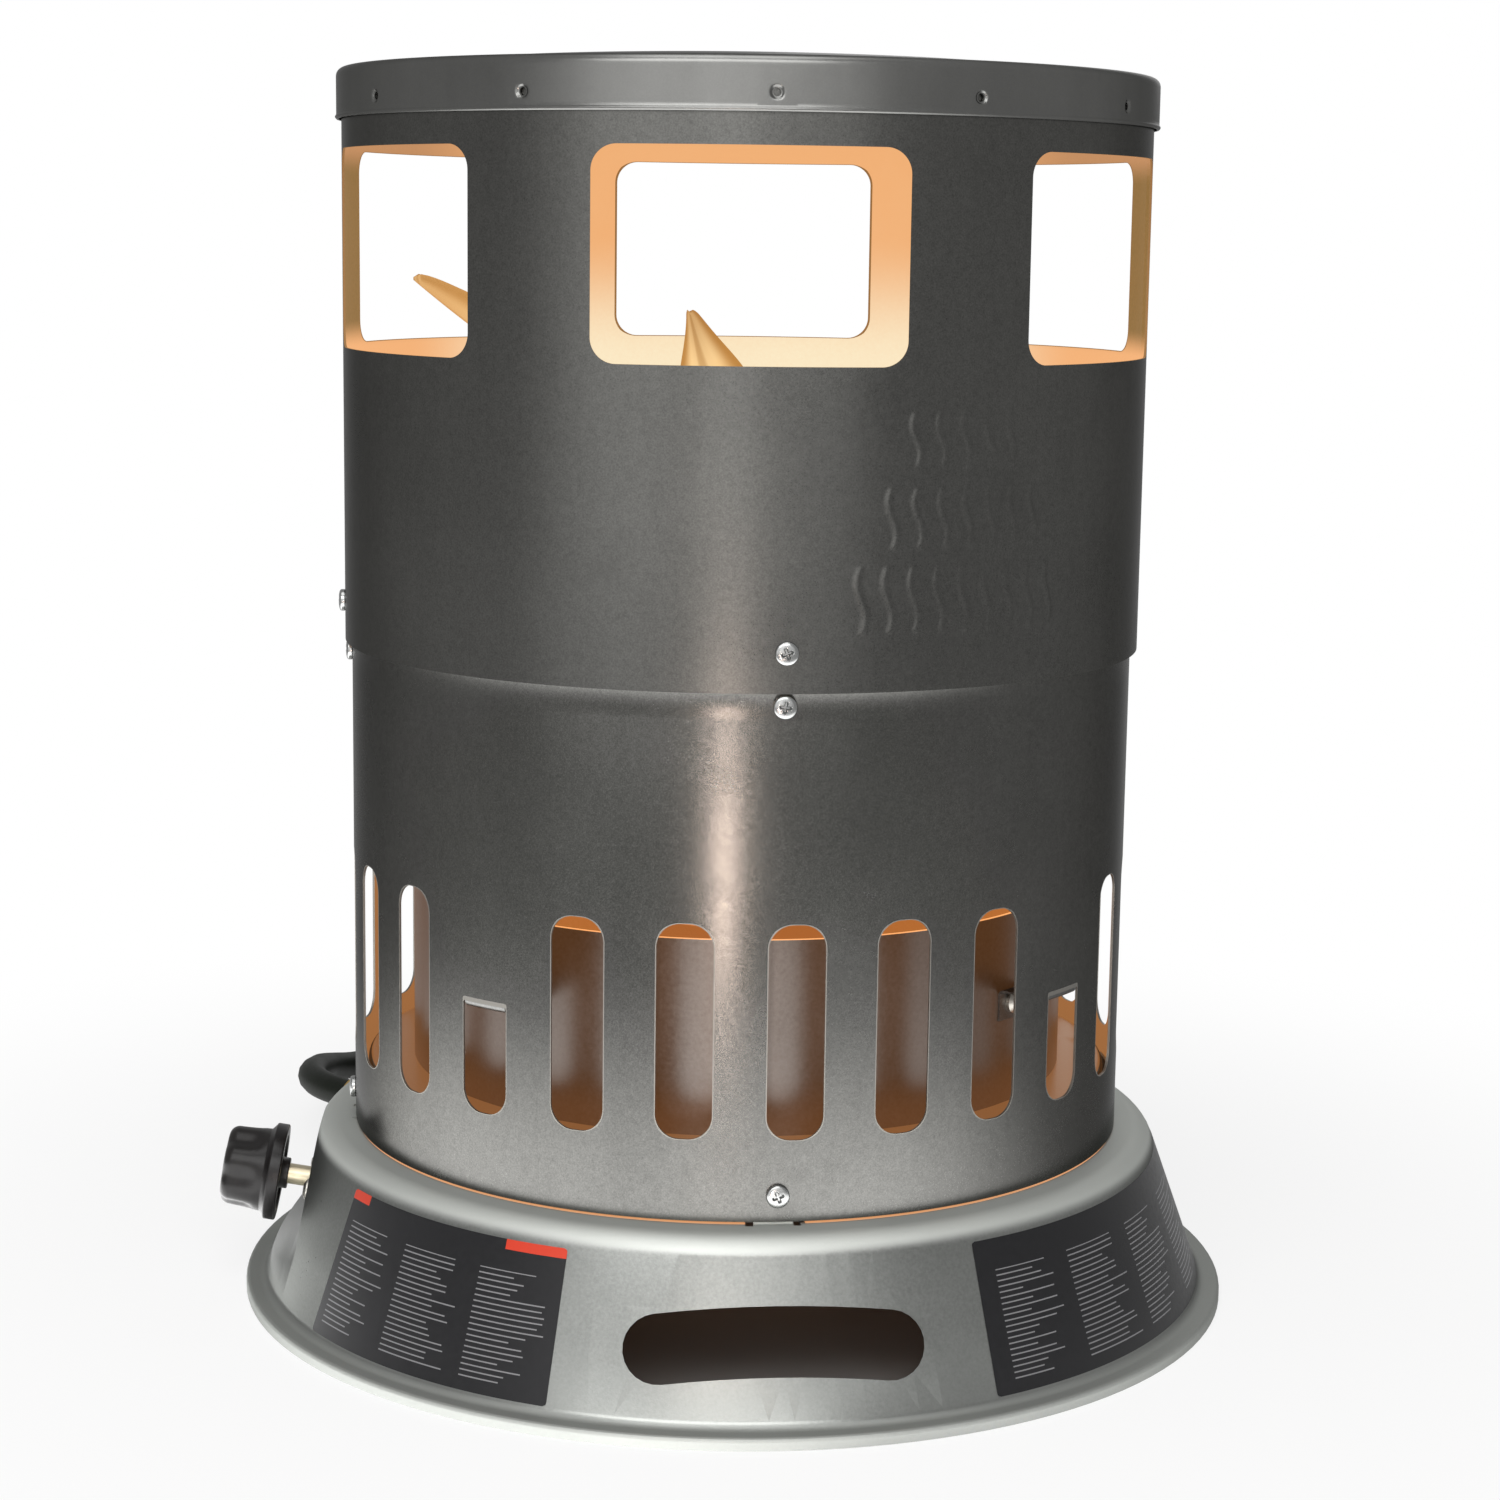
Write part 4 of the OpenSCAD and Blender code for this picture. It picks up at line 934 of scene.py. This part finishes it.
def heat_waves(az, z, height):
    """Upright wavy ridges: height cos^2 of the distance to x = swing sin(2 pi z / row)."""
    relief = np.zeros(np.broadcast(az, z).shape)
    for low, high, first, last in WAVE_ROWS:
        swing = WAVE_SWING * np.sin(2 * np.pi * (z - low) / (high - low))
        x = np.radians(az - (first + last) / 2) * UPPER_R - swing
        beside = (np.radians((last - first) / 2) * UPPER_R - 3 * MM) // WAVE_PITCH
        which = np.clip(np.round(x / WAVE_PITCH), -beside, beside)
        off = np.abs(x - which * WAVE_PITCH)
        ridge = np.cos(np.pi / 2 * np.clip(off / WAVE_RIDGE, 0, 1)) ** 2
        ends = smoothstep(low, low + 2 * MM, z) * smoothstep(-high, -high + 2 * MM, -z)
        relief = np.maximum(relief, height * ridge * ends)
    return relief


def make_upper_shell():
    """A rolled cylinder with six windows, raised waves, and a lap down its inside."""
    size = sizes()
    half_w, half_h = size.window_width / 2, size.window_height / 2
    counts = (14, 16, 8)
    gap = 2 * MM
    low, high = WINDOW_Z - half_h, WINDOW_Z + half_h
    cell = Cell(half_w, low, high, size.window_corner, 30, low - 8 * MM, high + 6 * MM,
                UPPER_R, counts)
    outline = hole(half_w, low, high, size.window_corner, size.window_corner, counts)
    centres = [60 * k for k in range(6)]
    ring = ring_columns(cell, centres)
    plain = np.linspace(-30, 330, 241)
    fine = np.concatenate([
        np.linspace(-30, 9, 27)[:-1], np.linspace(9, 51, 171), np.linspace(51, 330, 187)[1:]])
    wave_low, wave_high = WAVE_ROWS[-1][0] - 2.5 * MM, WAVE_ROWS[0][1] + 2.5 * MM
    skin, walls = Skin(), []
    for radius, paint in ((UPPER_R, 0), (UPPER_R - SHEET, 1)):
        outside = paint == 0

        def place(az, z):
            relief = heat_waves(az, z, size.emboss_height) if outside else 0
            return polar(radius + relief, az, z)

        rim = None if outside else 2
        rings = [cell_panel(skin, place, cell, outline, c, radius, paint, 7, rim)
                 for c in centres]
        if outside:
            band(skin, place, plain, np.linspace(SEAM_Z, wave_low - gap, 5), paint)
            joined(skin, place, plain, wave_low - gap, fine, wave_low, paint)
            band(skin, place, fine, np.linspace(wave_low, wave_high, 110), paint)
            joined(skin, place, fine, wave_high, ring, cell.z_low, paint)
        else:
            band(skin, place, plain, np.linspace(SEAM_Z, cell.z_low - 3 * MM, 12), paint)
            joined(skin, place, plain, cell.z_low - 3 * MM, ring, cell.z_low, paint)
        joined(skin, place, ring, cell.z_high, plain, cell.z_high + gap, paint)
        band(skin, place, plain, np.linspace(cell.z_high + gap, SHELL_TOP, 5), paint)
        walls.append((rings, place(plain, SEAM_Z), place(plain, SHELL_TOP)))
    close_walls(skin, walls, 2)
    lap_r = UPPER_R - SHEET - 0.01 * MM
    lap = np.array([(lap_r, LOWER_HIGH.z + 4 * MM), (lap_r, SHELL_TOP)])
    strip_sector(skin, lap, SHEET, 87, 93, 6, 1)
    skin.piece("upper_wall", [
        sheet_steel("upper_steel", chosen("steel"), 0.29),
        fire_lit("chamber_glow", WINDOW_Z - half_h - 12 * MM, WINDOW_Z + 8 * MM,
                 chosen("glow_low"), chosen("glow_high"), 0.95,
                 ((0.92, 0.46, 0.20), (0.21, 0.125, 0.035), (0.52, 0.26, 0.12))),
        # painted shade: a dimmer painted firelight on the windows' cut edges and on a thin ring
        # inside round each window
        fire_lit("window_edge", SEAM_Z, SHELL_TOP, (0.36, 0.19, 0.06), (0.28, 0.13, 0.04)),
    ], "upper_shell", "shell")


def make_lower_shell():
    """A rolled cylinder with 24 slots, four of them short, joggled in at its top."""
    size = sizes()
    low, gap = SHELL_Z + SLOT_RISE, 2 * MM
    high, short_high = low + size.slot_height, low + size.short_slot_height
    half_w, corner = size.slot_width / 2, size.slot_corner
    counts = (3, 12, 8)
    cell = Cell(half_w, low, high, corner, 7.5, low - 7 * MM, high + 7 * MM, SHELL_R, counts)
    full = hole(half_w, low, high, corner, corner, counts)
    short = hole(half_w, low, short_high, corner, 0.8 * MM, counts)
    centres = [7.5 + 15 * k for k in range(24)]
    ring = ring_columns(cell, centres)
    plain = np.linspace(0, 360, 241)
    foot_z = SHELL_Z - 1 * MM
    levels = [foot_z, SEAM_Z + 0.3 * MM, SEAM_Z + 3.5 * MM, LOWER_HIGH.z]
    top_rows = np.concatenate([
        np.linspace(cell.z_high + gap, levels[1], 8), np.linspace(*levels[1:3], 4)[1:],
        levels[3:]])
    skin, walls = Skin(), []
    for inset, paint in ((0, 0), (SHEET, 1)):
        step = SHELL_STEP - SHEET

        def place(az, z):
            radius = np.interp(z, levels, [SHELL_R, SHELL_R, SHELL_R + step, SHELL_R + step])
            return polar(radius - inset, az, z)

        radius = SHELL_R - inset
        rings = []
        for centre in centres:
            is_short = abs((centre - SHORT_AZ) % 90) < 1
            rings.append(cell_panel(
                skin, place, cell, short if is_short else full, centre, radius, paint, 5,
                2 if paint == 0 else None))
        band(skin, place, plain, np.linspace(foot_z, cell.z_low - gap, 4), paint)
        joined(skin, place, plain, cell.z_low - gap, ring, cell.z_low, paint)
        joined(skin, place, ring, cell.z_high, plain, cell.z_high + gap, paint)
        band(skin, place, plain, top_rows, paint)
        walls.append((rings, place(plain, foot_z), place(plain, LOWER_HIGH.z)))
    close_walls(skin, walls, 2, 2)
    fold_r, end_r = SHELL_R - 0.15 * MM, DRUM_HIGH.x + 0.05 * MM + SHEET
    bend, fold, tab_height = 1.6 * MM, 2.2 * MM, 13 * MM
    tab = np.vstack([
        [(fold_r, short_high + 0.4 * MM)],
        arc((fold_r - fold, short_high), fold, 0, -90, 8),
        arc((end_r + bend, short_high - fold - bend), bend, 90, 180, 6),
        [(end_r, short_high - tab_height)],
    ])
    for k in range(4):
        middle = SHORT_AZ + 90 * k
        strip_sector(skin, tab, -SHEET, middle - 3.6, middle + 3.6, 8, 3)
    skin.piece("lower_wall", [
        sheet_steel("lower_steel", chosen("steel"), 0.25),
        fire_lit("duct_glow", SHELL_Z, SEAM_Z, (0.62, 0.26, 0.09), (0.62, 0.25, 0.08), 0.55),
        # the slots' cut faces, the shell's ends and a thin ring of the outer face round each slot:
        # bare cut steel, made lighter than the sheet as a painted highlight along the edges
        plated("cut_edge", (0.24, 0.23, 0.21), 0.4),
        sheet_steel("folded_steel", (0.17, 0.17, 0.165), 0.36),
    ], "lower_shell", "shell")


# ---- screws -------------------------------------------------------------------
SHANK = 4.6 * MM
ABOVE_SEAM, BELOW_SEAM, ABOVE_BASE = 13.6 * MM, 4.6 * MM, 8.2 * MM


def screw_points(length, turn):
    """A pan head over a shank: a turned profile with a cross-shaped hollow in its top."""
    head_r, head_h, shank_r = sizes().head_radius, 2.4 * MM, 1.9 * MM
    s = np.linspace(0, 1, 26)
    crown_r = head_r * np.sin(s * np.pi / 2)
    crown_z = head_h * (0.38 + 0.62 * np.cos(s * np.pi / 2) ** 0.55)
    tail = np.array([(head_r, 0.25 * MM), (head_r - 0.25 * MM, 0), (shank_r, 0),
                     (shank_r, -length), (0, -length)])
    r, z = np.concatenate([crown_r, tail[:, 0]]), np.concatenate([crown_z, tail[:, 1]])
    angle = np.linspace(0, 2 * np.pi, 73)[None, :]
    x, y = r[:, None] * np.cos(angle), r[:, None] * np.sin(angle)
    across = np.minimum(np.abs(x), np.abs(y))
    arms = smoothstep(-0.62 * MM, -0.3 * MM, -across)
    hollow = arms * smoothstep(-2.2 * MM, -1.5 * MM, -np.hypot(x, y))
    on_top = (np.arange(len(r)) < len(crown_r))[:, None]
    level = z[:, None] - 1.25 * MM * hollow * on_top
    c, s = math.cos(turn), math.sin(turn)
    return np.stack([x * c - y * s, x * s + y * c, np.broadcast_to(level, x.shape)], axis=-1)


def outwards(points, az, r, z):
    """Local points, with +Z out of the heater, set at a place on it."""
    side, out = polar(1.0, az + 90, 0.0), polar(1.0, az, 0.0)
    frame_of = np.stack([side, np.array([0.0, 0.0, 1.0]), out])
    return points @ frame_of + polar(r, az, z)


def make_screws():
    """Pan heads round the seam and round the foot of the lower shell, each turned its own way."""
    paint = plated("screw_zinc", (0.37, 0.375, 0.37), 0.16, 0.35)
    sets = {
        "seam_screws": [(UPPER_R, SEAM_Z + ABOVE_SEAM), (SHELL_R, SEAM_Z - BELOW_SEAM)],
        "tab_screws": [(SHELL_R, SHELL_Z + ABOVE_BASE)],
    }
    for node, rows in sets.items():
        skin = Skin()
        for k in range(4):
            for row, (r, z) in enumerate(rows):
                turn = math.radians(20 + 37 * k + 61 * row)
                shape = screw_points(SHANK, turn)
                skin.grid(outwards(shape, SCREW_AZ + 90 * k, r, z))
        skin.piece(node + "_heads", [paint], node, "screw", sharp=40)


# ---- knob ---------------------------------------------------------------------
def make_knob():
    """Turned profile; the grip's radius is less by a share of (1 + cos(n a)) / 2, its flutes."""
    joint = JOINTS["knob_turn"]
    out, at = np.array(joint["axis"]), np.array(joint["pos_m"])
    side = np.cross((0, 0, 1), out)
    side /= np.linalg.norm(side)
    frame_of = np.stack([side, np.cross(out, side), out])
    skirt_r, grip_r, tall, skirt_h = 18.4 * MM, 15.8 * MM, 22.5 * MM, 4.3 * MM
    bore_r, corner = 3.95 * MM, 3.8 * MM
    end_r = grip_r - 0.5 * MM
    line = np.vstack([
        np.stack([np.linspace(0, end_r - corner, 9),
                  tall - 0.5 * MM * np.linspace(0, 1, 9) ** 2], axis=1),
        arc((end_r - corner, tall - 0.5 * MM - corner), corner, 82, 6, 12),
        [(end_r + 0.1 * MM, tall - 7 * MM), (end_r + 0.25 * MM, tall - 10 * MM),
         (grip_r - 0.1 * MM, tall - 12.5 * MM), (grip_r, tall - 14 * MM)],
        arc((grip_r + 0.8 * MM, skirt_h + 2.4 * MM), 0.8 * MM, 180, 222, 4),
        [(skirt_r - 0.5 * MM, skirt_h + 0.35 * MM)],
        arc((skirt_r - 0.8 * MM, skirt_h - 0.3 * MM), 0.8 * MM, 45, 0, 4),
        arc((skirt_r - 0.6 * MM, 0.6 * MM), 0.6 * MM, 0, -90, 5),
        [(skirt_r - 4 * MM, 0), (skirt_r - 4.6 * MM, 0.9 * MM), (6.6 * MM, 0.9 * MM),
         (5.9 * MM, 0), (5.9 * MM, -2.2 * MM), (5.6 * MM, -2.5 * MM), (bore_r, -2.5 * MM),
         (bore_r, 14.6 * MM), (0, 14.6 * MM)],
    ])
    r, z = line[:, :1], line[:, 1:]
    angle = np.linspace(0, 2 * np.pi, 193)[None, :]
    wave = (0.5 + 0.5 * np.cos(sizes().knob_flutes * angle)) ** 1.5
    share = 0.11 * smoothstep(skirt_h + 3 * MM, skirt_h + 8 * MM, z)
    share = share * smoothstep(5 * MM, 12 * MM, r)
    r = r * (1 - share * wave)
    local = np.stack([r * np.cos(angle), r * np.sin(angle), np.broadcast_to(z, r.shape)], axis=-1)
    skin = Skin()
    skin.grid(local @ frame_of + at)
    plastic = moulded("knob_plastic", chosen("knob"), 0.3, 1200, 0.26)
    skin.piece("knob_moulding", [plastic], "knob", "knob", "knob", 38)


# ---- deflector ----------------------------------------------------------------
LONGEST_EAR = 66 * MM
# each ear: azimuth, radius of its tip, half width at its root, half width near its tip
EARS = ((-74, 124 * MM, 17 * MM, 4 * MM), (-168, 104 * MM, 13 * MM, 1.6 * MM),
        (45, 80 * MM, 14 * MM, 4 * MM))


def make_deflector():
    """A shallow dish whose edge turns up, with ears that arch up and are hollow across."""
    thick, ear_thick, inset, curl_height = 1.2 * MM, 1.0 * MM, 6 * MM, 20 * MM
    dish_z, dish_r = DISH_Z + thick, 58 * MM
    line = smooth_line([
        (0, dish_z), (20 * MM, dish_z), (dish_r - 18 * MM, dish_z + 0.4 * MM),
        (dish_r - 10 * MM, dish_z + 3.6 * MM), (dish_r, dish_z + 11 * MM)], 6)
    under = offset_line(line, -thick)
    under[0, 0] = 0
    az = np.linspace(0, 360, 145)[None, :]
    top, bottom = [polar(part[:, :1], az, part[:, 1:]) for part in (line, under)]
    skin = Skin()
    skin.grid(top)
    skin.grid(bottom)
    skin.bridge(top[-1], bottom[-1])
    for az_ear, tip_r, root, tip in EARS:
        t = np.linspace(0, 1, 31)
        share = (tip_r - dish_r) / LONGEST_EAR
        run = tip_r - dish_r + inset
        r = dish_r - inset + run * t
        level = dish_z + 8 * MM + 3 * MM * share + run * (0.519 * t + 0.153 * t**2)
        rounded = np.sqrt(np.clip(1 - ((t - 0.86).clip(0) / 0.14) ** 2, 0, 1))
        taper = (root * (1 - t) ** 1.25 + tip) * rounded
        across = np.linspace(-1, 1, 13)[None, :]
        x = taper[:, None] * across
        curl = share * curl_height * across**2
        curl = curl * ((1 - t) ** 0.55 * (1 - 0.3 * (1 - t) ** 6))[:, None]
        face = np.stack([x, -np.broadcast_to(r[:, None], x.shape), level[:, None] + curl], -1)
        back = face - (0, 0, ear_thick)
        a = math.radians(az_ear)
        spin = np.array([(math.cos(a), math.sin(a), 0), (-math.sin(a), math.cos(a), 0), (0, 0, 1)])
        face, back = face @ spin, back @ spin
        uv = np.stack(np.broadcast_arrays(across, t[:, None]), axis=-1) + 1e-6
        skin.sheet(face, back, uv=uv)
    skin.piece("flame_plate", [tinted_and_firelit_sheet("heat_tint")], "deflector", "deflector", sharp=45)


# ---- labels -------------------------------------------------------------------
def make_labels():
    """Thin films with rounded corners that follow the base's wall."""
    ledge_z, shoulder_r = SHELL_Z - 2 * MM, 9 * MM
    wall_top_r, wall_top_z = SHELL_R + 17.6 * MM, SHELL_Z - 16 * MM
    foot_r, foot_z = BASE_R - 7.6 * MM, 4.4 * MM
    slope = (foot_r - wall_top_r) / (wall_top_z - foot_z)
    tilt = math.degrees(math.atan(slope))
    shoulder_z = ledge_z - shoulder_r
    wall_end = shoulder_z + shoulder_r * math.sin(math.radians(tilt))

    def wall_r(z):
        return wall_top_r + slope * (wall_top_z - z)

    height = np.linspace(foot_z + 2.6 * MM, wall_end - 1.5 * MM, 24)
    line = np.stack([wall_r(height), height], 1)
    length_at = np.concatenate([[0], np.cumsum(np.hypot(*np.diff(line, axis=0).T))])
    total = length_at[-1]
    proud, film, middle = 0.14 * MM, 0.12 * MM, 30 * MM
    places = {
        "label_left": (-58, 37, 3, [(-1.0, 0.11, 0.935, 2.0), (0.775, 2.0, 0.935, 2.0)]),
        "label_right": (30, 68, 5, []),
    }
    for name, (first, span, columns, blocks) in places.items():
        v = np.concatenate([np.linspace(0, 0.06, 8), np.linspace(0.06, 0.94, 30)[1:-1],
                            np.linspace(0.94, 1, 8)])
        along = v * total
        r = np.interp(along, length_at, line[:, 0]) + proud
        z = np.interp(along, length_at, line[:, 1])
        corner, wide = 1.2 * MM, math.radians(span) * wall_r(middle)
        into = np.clip((corner - np.minimum(along, total - along)) / corner, 0, 1)
        width = 1 - 2 * corner / wide * (1 - np.sqrt(1 - into**2))
        u = np.linspace(0, 1, 61)
        at = 0.5 + (u[None, :] - 0.5) * width[:, None]
        outer = polar(r[:, None], first + span * at, z[:, None])
        inner = polar(r[:, None] - film, first + span * at, z[:, None])
        uv = np.stack([at, np.broadcast_to(v[:, None], at.shape)], axis=-1) + 1e-6
        skin = Skin()
        skin.sheet(outer, inner, uv=uv)
        skin.piece(
            name + "_film", [label_film(name + "_print", columns, blocks)], name, "decal")


# ---- base and the pieces that keep their CAD shape ----------------------------
def base_steel():
    """Galvanised sheet, with firelight on the strip of ledge inside the lower shell."""
    tint = chosen("zinc")
    paint = Paint("base_steel", metallic=1.0, emission_strength=0.8, specular_tint=EDGE_TINT)
    x, y, z = paint.xyz()
    r = paint.radius(x, y)
    grain = paint.noise(900, 2, 0.6)
    cloud = paint.noise(9, 5, 0.6)
    mark = paint.noise(26, 4, 0.7).step(0.58, 0.74)
    level = 0.5 + (grain - 0.5) * 0.42 + (cloud - 0.5) * 0.4
    base = paint.mix(level, shade(tint, 0.5), shade(tint, 1.5))
    base = paint.mix(mark * 0.25, base, shade(tint, 0.7))
    # painted light: the wall is lighter towards its foot
    low = 1 - z.step(10 * MM, 34 * MM)
    # painted light: the ledge and shoulder next to the shell are much lighter, and rougher
    top = z.step(SHELL_Z - 9 * MM, SHELL_Z - 5 * MM) * (r > SHELL_R - 2 * MM)
    base = paint.mix(low * 0.4, base, shade(tint, 1.4))
    # painted light: the flange is lighter, and rougher
    flange = r.step(BASE_R - 9 * MM, BASE_R - 6 * MM) * (z < 6 * MM)
    base = paint.mix(flange, base, shade(tint, 1.5))
    paint.put("Base Color", paint.mix(top * 0.85, base, shade(tint, 2.6)))
    dull = 0.32 + (top + flange) * 0.32
    paint.put("Roughness", dull + (cloud - 0.5) * 0.14 + (grain - 0.5) * 0.1)
    # painted firelight: the riser inside the shell, except at the tabs, and the deck glow orange
    a = math.radians(SCREW_AZ)
    turn = (x * math.cos(a) + y * math.sin(a)) * (x * math.sin(a) - y * math.cos(a)) / (r * r)
    riser = (r > SHELL_R - 4.6 * MM) * (r < SHELL_R - 0.6 * MM) * (z < SHELL_Z + 2 * MM)
    riser = riser * (z > SHELL_Z - 4.2 * MM) * (turn * turn > 0.068**2)
    deck = (z > BASE_HIGH.z - 0.3 * MM) * (r < SHELL_R)
    light = paint.mix(riser, (0, 0, 0), (0.80, 0.36, 0.15))
    paint.put("Emission Color", paint.mix(deck, light, (0.28, 0.11, 0.035)))
    paint.bump(grain, 0.3, 0.00012)
    return paint.material


def drum_steel():
    """Dull sheet outside; inside and on its top edge, the light of the fire."""
    drum_r, drum_top = DRUM_HIGH.x, DRUM_HIGH.z
    paint = Paint("drum_steel", metallic=1.0, emission_strength=1.0)
    x, y, z = paint.xyz()
    r = paint.radius(x, y)
    grain, cloud = paint.noise(700, 3, 0.6), paint.noise(20, 4, 0.6)
    paint.put("Base Color", paint.mix(
        grain * 0.6 + cloud * 0.4, (0.062, 0.056, 0.051), (0.175, 0.165, 0.157)))
    paint.put("Roughness", 0.36 + (grain - 0.5) * 0.16 + (cloud - 0.5) * 0.12)
    inside = r < drum_r - 0.3 * MM
    edge = z > drum_top - 0.25 * MM
    # painted firelight outside: stronger towards the foot of the drum
    ends = 0.35 + 0.65 * (1 - z.step(BASE_HIGH.z, BASE_HIGH.z + 22 * MM))
    outside = paint.mix(ends, (0.016, 0.008, 0.003), (0.092, 0.036, 0.013))
    lit = paint.mix(inside, outside, (0.42, 0.135, 0.030))
    paint.put("Emission Color", paint.mix(edge, lit, (1.0, 0.42, 0.14)))
    paint.bump(grain, 0.3, 0.0001)
    return paint.material


def make_base():
    """The base's own CAD mesh, merged and shaded smooth over its turned bends."""
    mesh = frame["nodes"]["base_pan"].data.copy()
    mesh.materials.clear()
    work = bmesh.new()
    work.from_mesh(mesh)
    bmesh.ops.remove_doubles(work, verts=work.verts, dist=1e-6)
    work.to_mesh(mesh)
    work.free()
    place_piece(mesh, "base_sheet", [base_steel()], "base_pan", sharp=14)


def finish_nodes():
    """The finishes of the pieces that keep their CAD shape."""
    brass = plated("turned_brass", (0.55, 0.37, 0.13), 0.26)
    steel = plated("drawn_steel", (0.42, 0.42, 0.41), 0.32)
    zinc = plated("inside_screws", (0.55, 0.53, 0.48), 0.28)
    strap = sheet_steel("strap_steel", (0.32, 0.29, 0.24), 0.42)
    black = moulded("black_moulding", (0.014, 0.014, 0.015), 0.4, 900, 0.4)
    finishes = {
        "inner_drum": drum_steel(),
        "burner_head": cast("burner_iron", (0.07, 0.065, 0.06), 0.7, 0.9),
        "burner_ports_plate": cast("port_plate", (0.12, 0.11, 0.10), 0.6, 1.6),
        "regulator_body": cast("die_cast_zinc", (0.42, 0.42, 0.43), 0.45),
        "regulator_cover": enamel("red_enamel", (0.42, 0.02, 0.014)),
        "valve_stem": plated("nickel_brass", (0.62, 0.55, 0.40), 0.3),
        "thermocouple": plated("probe_copper", (0.50, 0.27, 0.14), 0.3),
        "thermocouple_lead": plated("lead_copper", (0.55, 0.25, 0.12), 0.3),
        "inlet_collars": moulded("seal_rubber", (0.02, 0.02, 0.02), 0.6, 500, 0.3),
    }
    groups = (
        (brass, ("jet", "jet_elbow", "manifold_nuts", "valve_body", "valve_plug",
                 "inlet_fitting", "inlet_lock_nut", "hose_nut", "hose_ferrule", "tail_ferrule",
                 "tank_nipple")),
        (steel, ("venturi_tube", "air_shutter", "manifold_tube", "inlet_tube", "thrust_washer")),
        (zinc, ("drum_screws", "deck_screws", "deflector_screws", "bracket_screws",
                "valve_screws", "regulator_screws")),
        (strap, ("deflector_legs", "burner_bracket", "valve_bracket", "thermocouple_bracket")),
        (black, ("coupling_nut", "regulator_vent")),
    )
    for paint, nodes in groups:
        finishes.update({node: paint for node in nodes})
    for node, paint in finishes.items():
        mesh = frame["nodes"][node].data
        mesh.materials.clear()
        mesh.materials.append(paint)


# ---- operators, panel and the run ---------------------------------------------
class Build:
    """What every operator here shares: it runs one function and lets its errors through."""

    bl_options = {"REGISTER", "UNDO"}

    def execute(self, context):
        for make in self.makes:
            make()
        return {"FINISHED"}


def operator(name, label, doc, *makes):
    """An operator class that calls the functions given."""
    names = {"__doc__": doc, "bl_idname": f"heater.{name}", "bl_label": label, "makes": makes}
    return type(f"HEATER_OT_{name}", (Build, bpy.types.Operator), names)


OPERATORS = (
    operator("stage", "Stage", "Adds the camera, the floor and the light",
             make_camera, make_floor, make_world, make_lamps),
    operator("hose", "Hose", "Adds the gas hose, its coil and its strap", make_hose),
    operator("lid", "Lid", "Adds the lid with its dimples", make_lid),
    operator("upper_shell", "Upper shell", "Adds the shell with the windows", make_upper_shell),
    operator("lower_shell", "Lower shell", "Adds the shell with the slots", make_lower_shell),
    operator("screws", "Screws", "Adds the pan-head screws", make_screws),
    operator("knob", "Knob", "Adds the fluted knob", make_knob),
    operator("deflector", "Deflector", "Adds the plate over the flame", make_deflector),
    operator("labels", "Labels", "Adds the two printed films", make_labels),
    operator("base", "Base", "Adds the pressed base", make_base),
    operator("finishes", "Finishes", "Gives the other pieces their finish", finish_nodes),
)


class HEATER_PT_panel(bpy.types.Panel):
    """Lists the heater's pieces."""

    bl_label = "Heater"
    bl_space_type = "VIEW_3D"
    bl_region_type = "UI"
    bl_category = "Heater"

    def draw(self, context):
        for made in OPERATORS:
            self.layout.operator(made.bl_idname)


CLASSES = (HeaterSizes, HeaterColours, *OPERATORS, HEATER_PT_panel)


def register():
    for made in CLASSES:
        bpy.utils.register_class(made)
    bpy.types.Scene.heater_sizes = PointerProperty(type=HeaterSizes)
    bpy.types.Scene.heater_colours = PointerProperty(type=HeaterColours)


def unregister():
    del bpy.types.Scene.heater_colours
    del bpy.types.Scene.heater_sizes
    for made in reversed(CLASSES):
        bpy.utils.unregister_class(made)


def main():
    register()
    bpy.context.scene.view_settings.view_transform = "Standard"
    for made in OPERATORS:
        getattr(bpy.ops.heater, made.bl_idname.split(".")[1])()


if __name__ == "__main__":
    main()
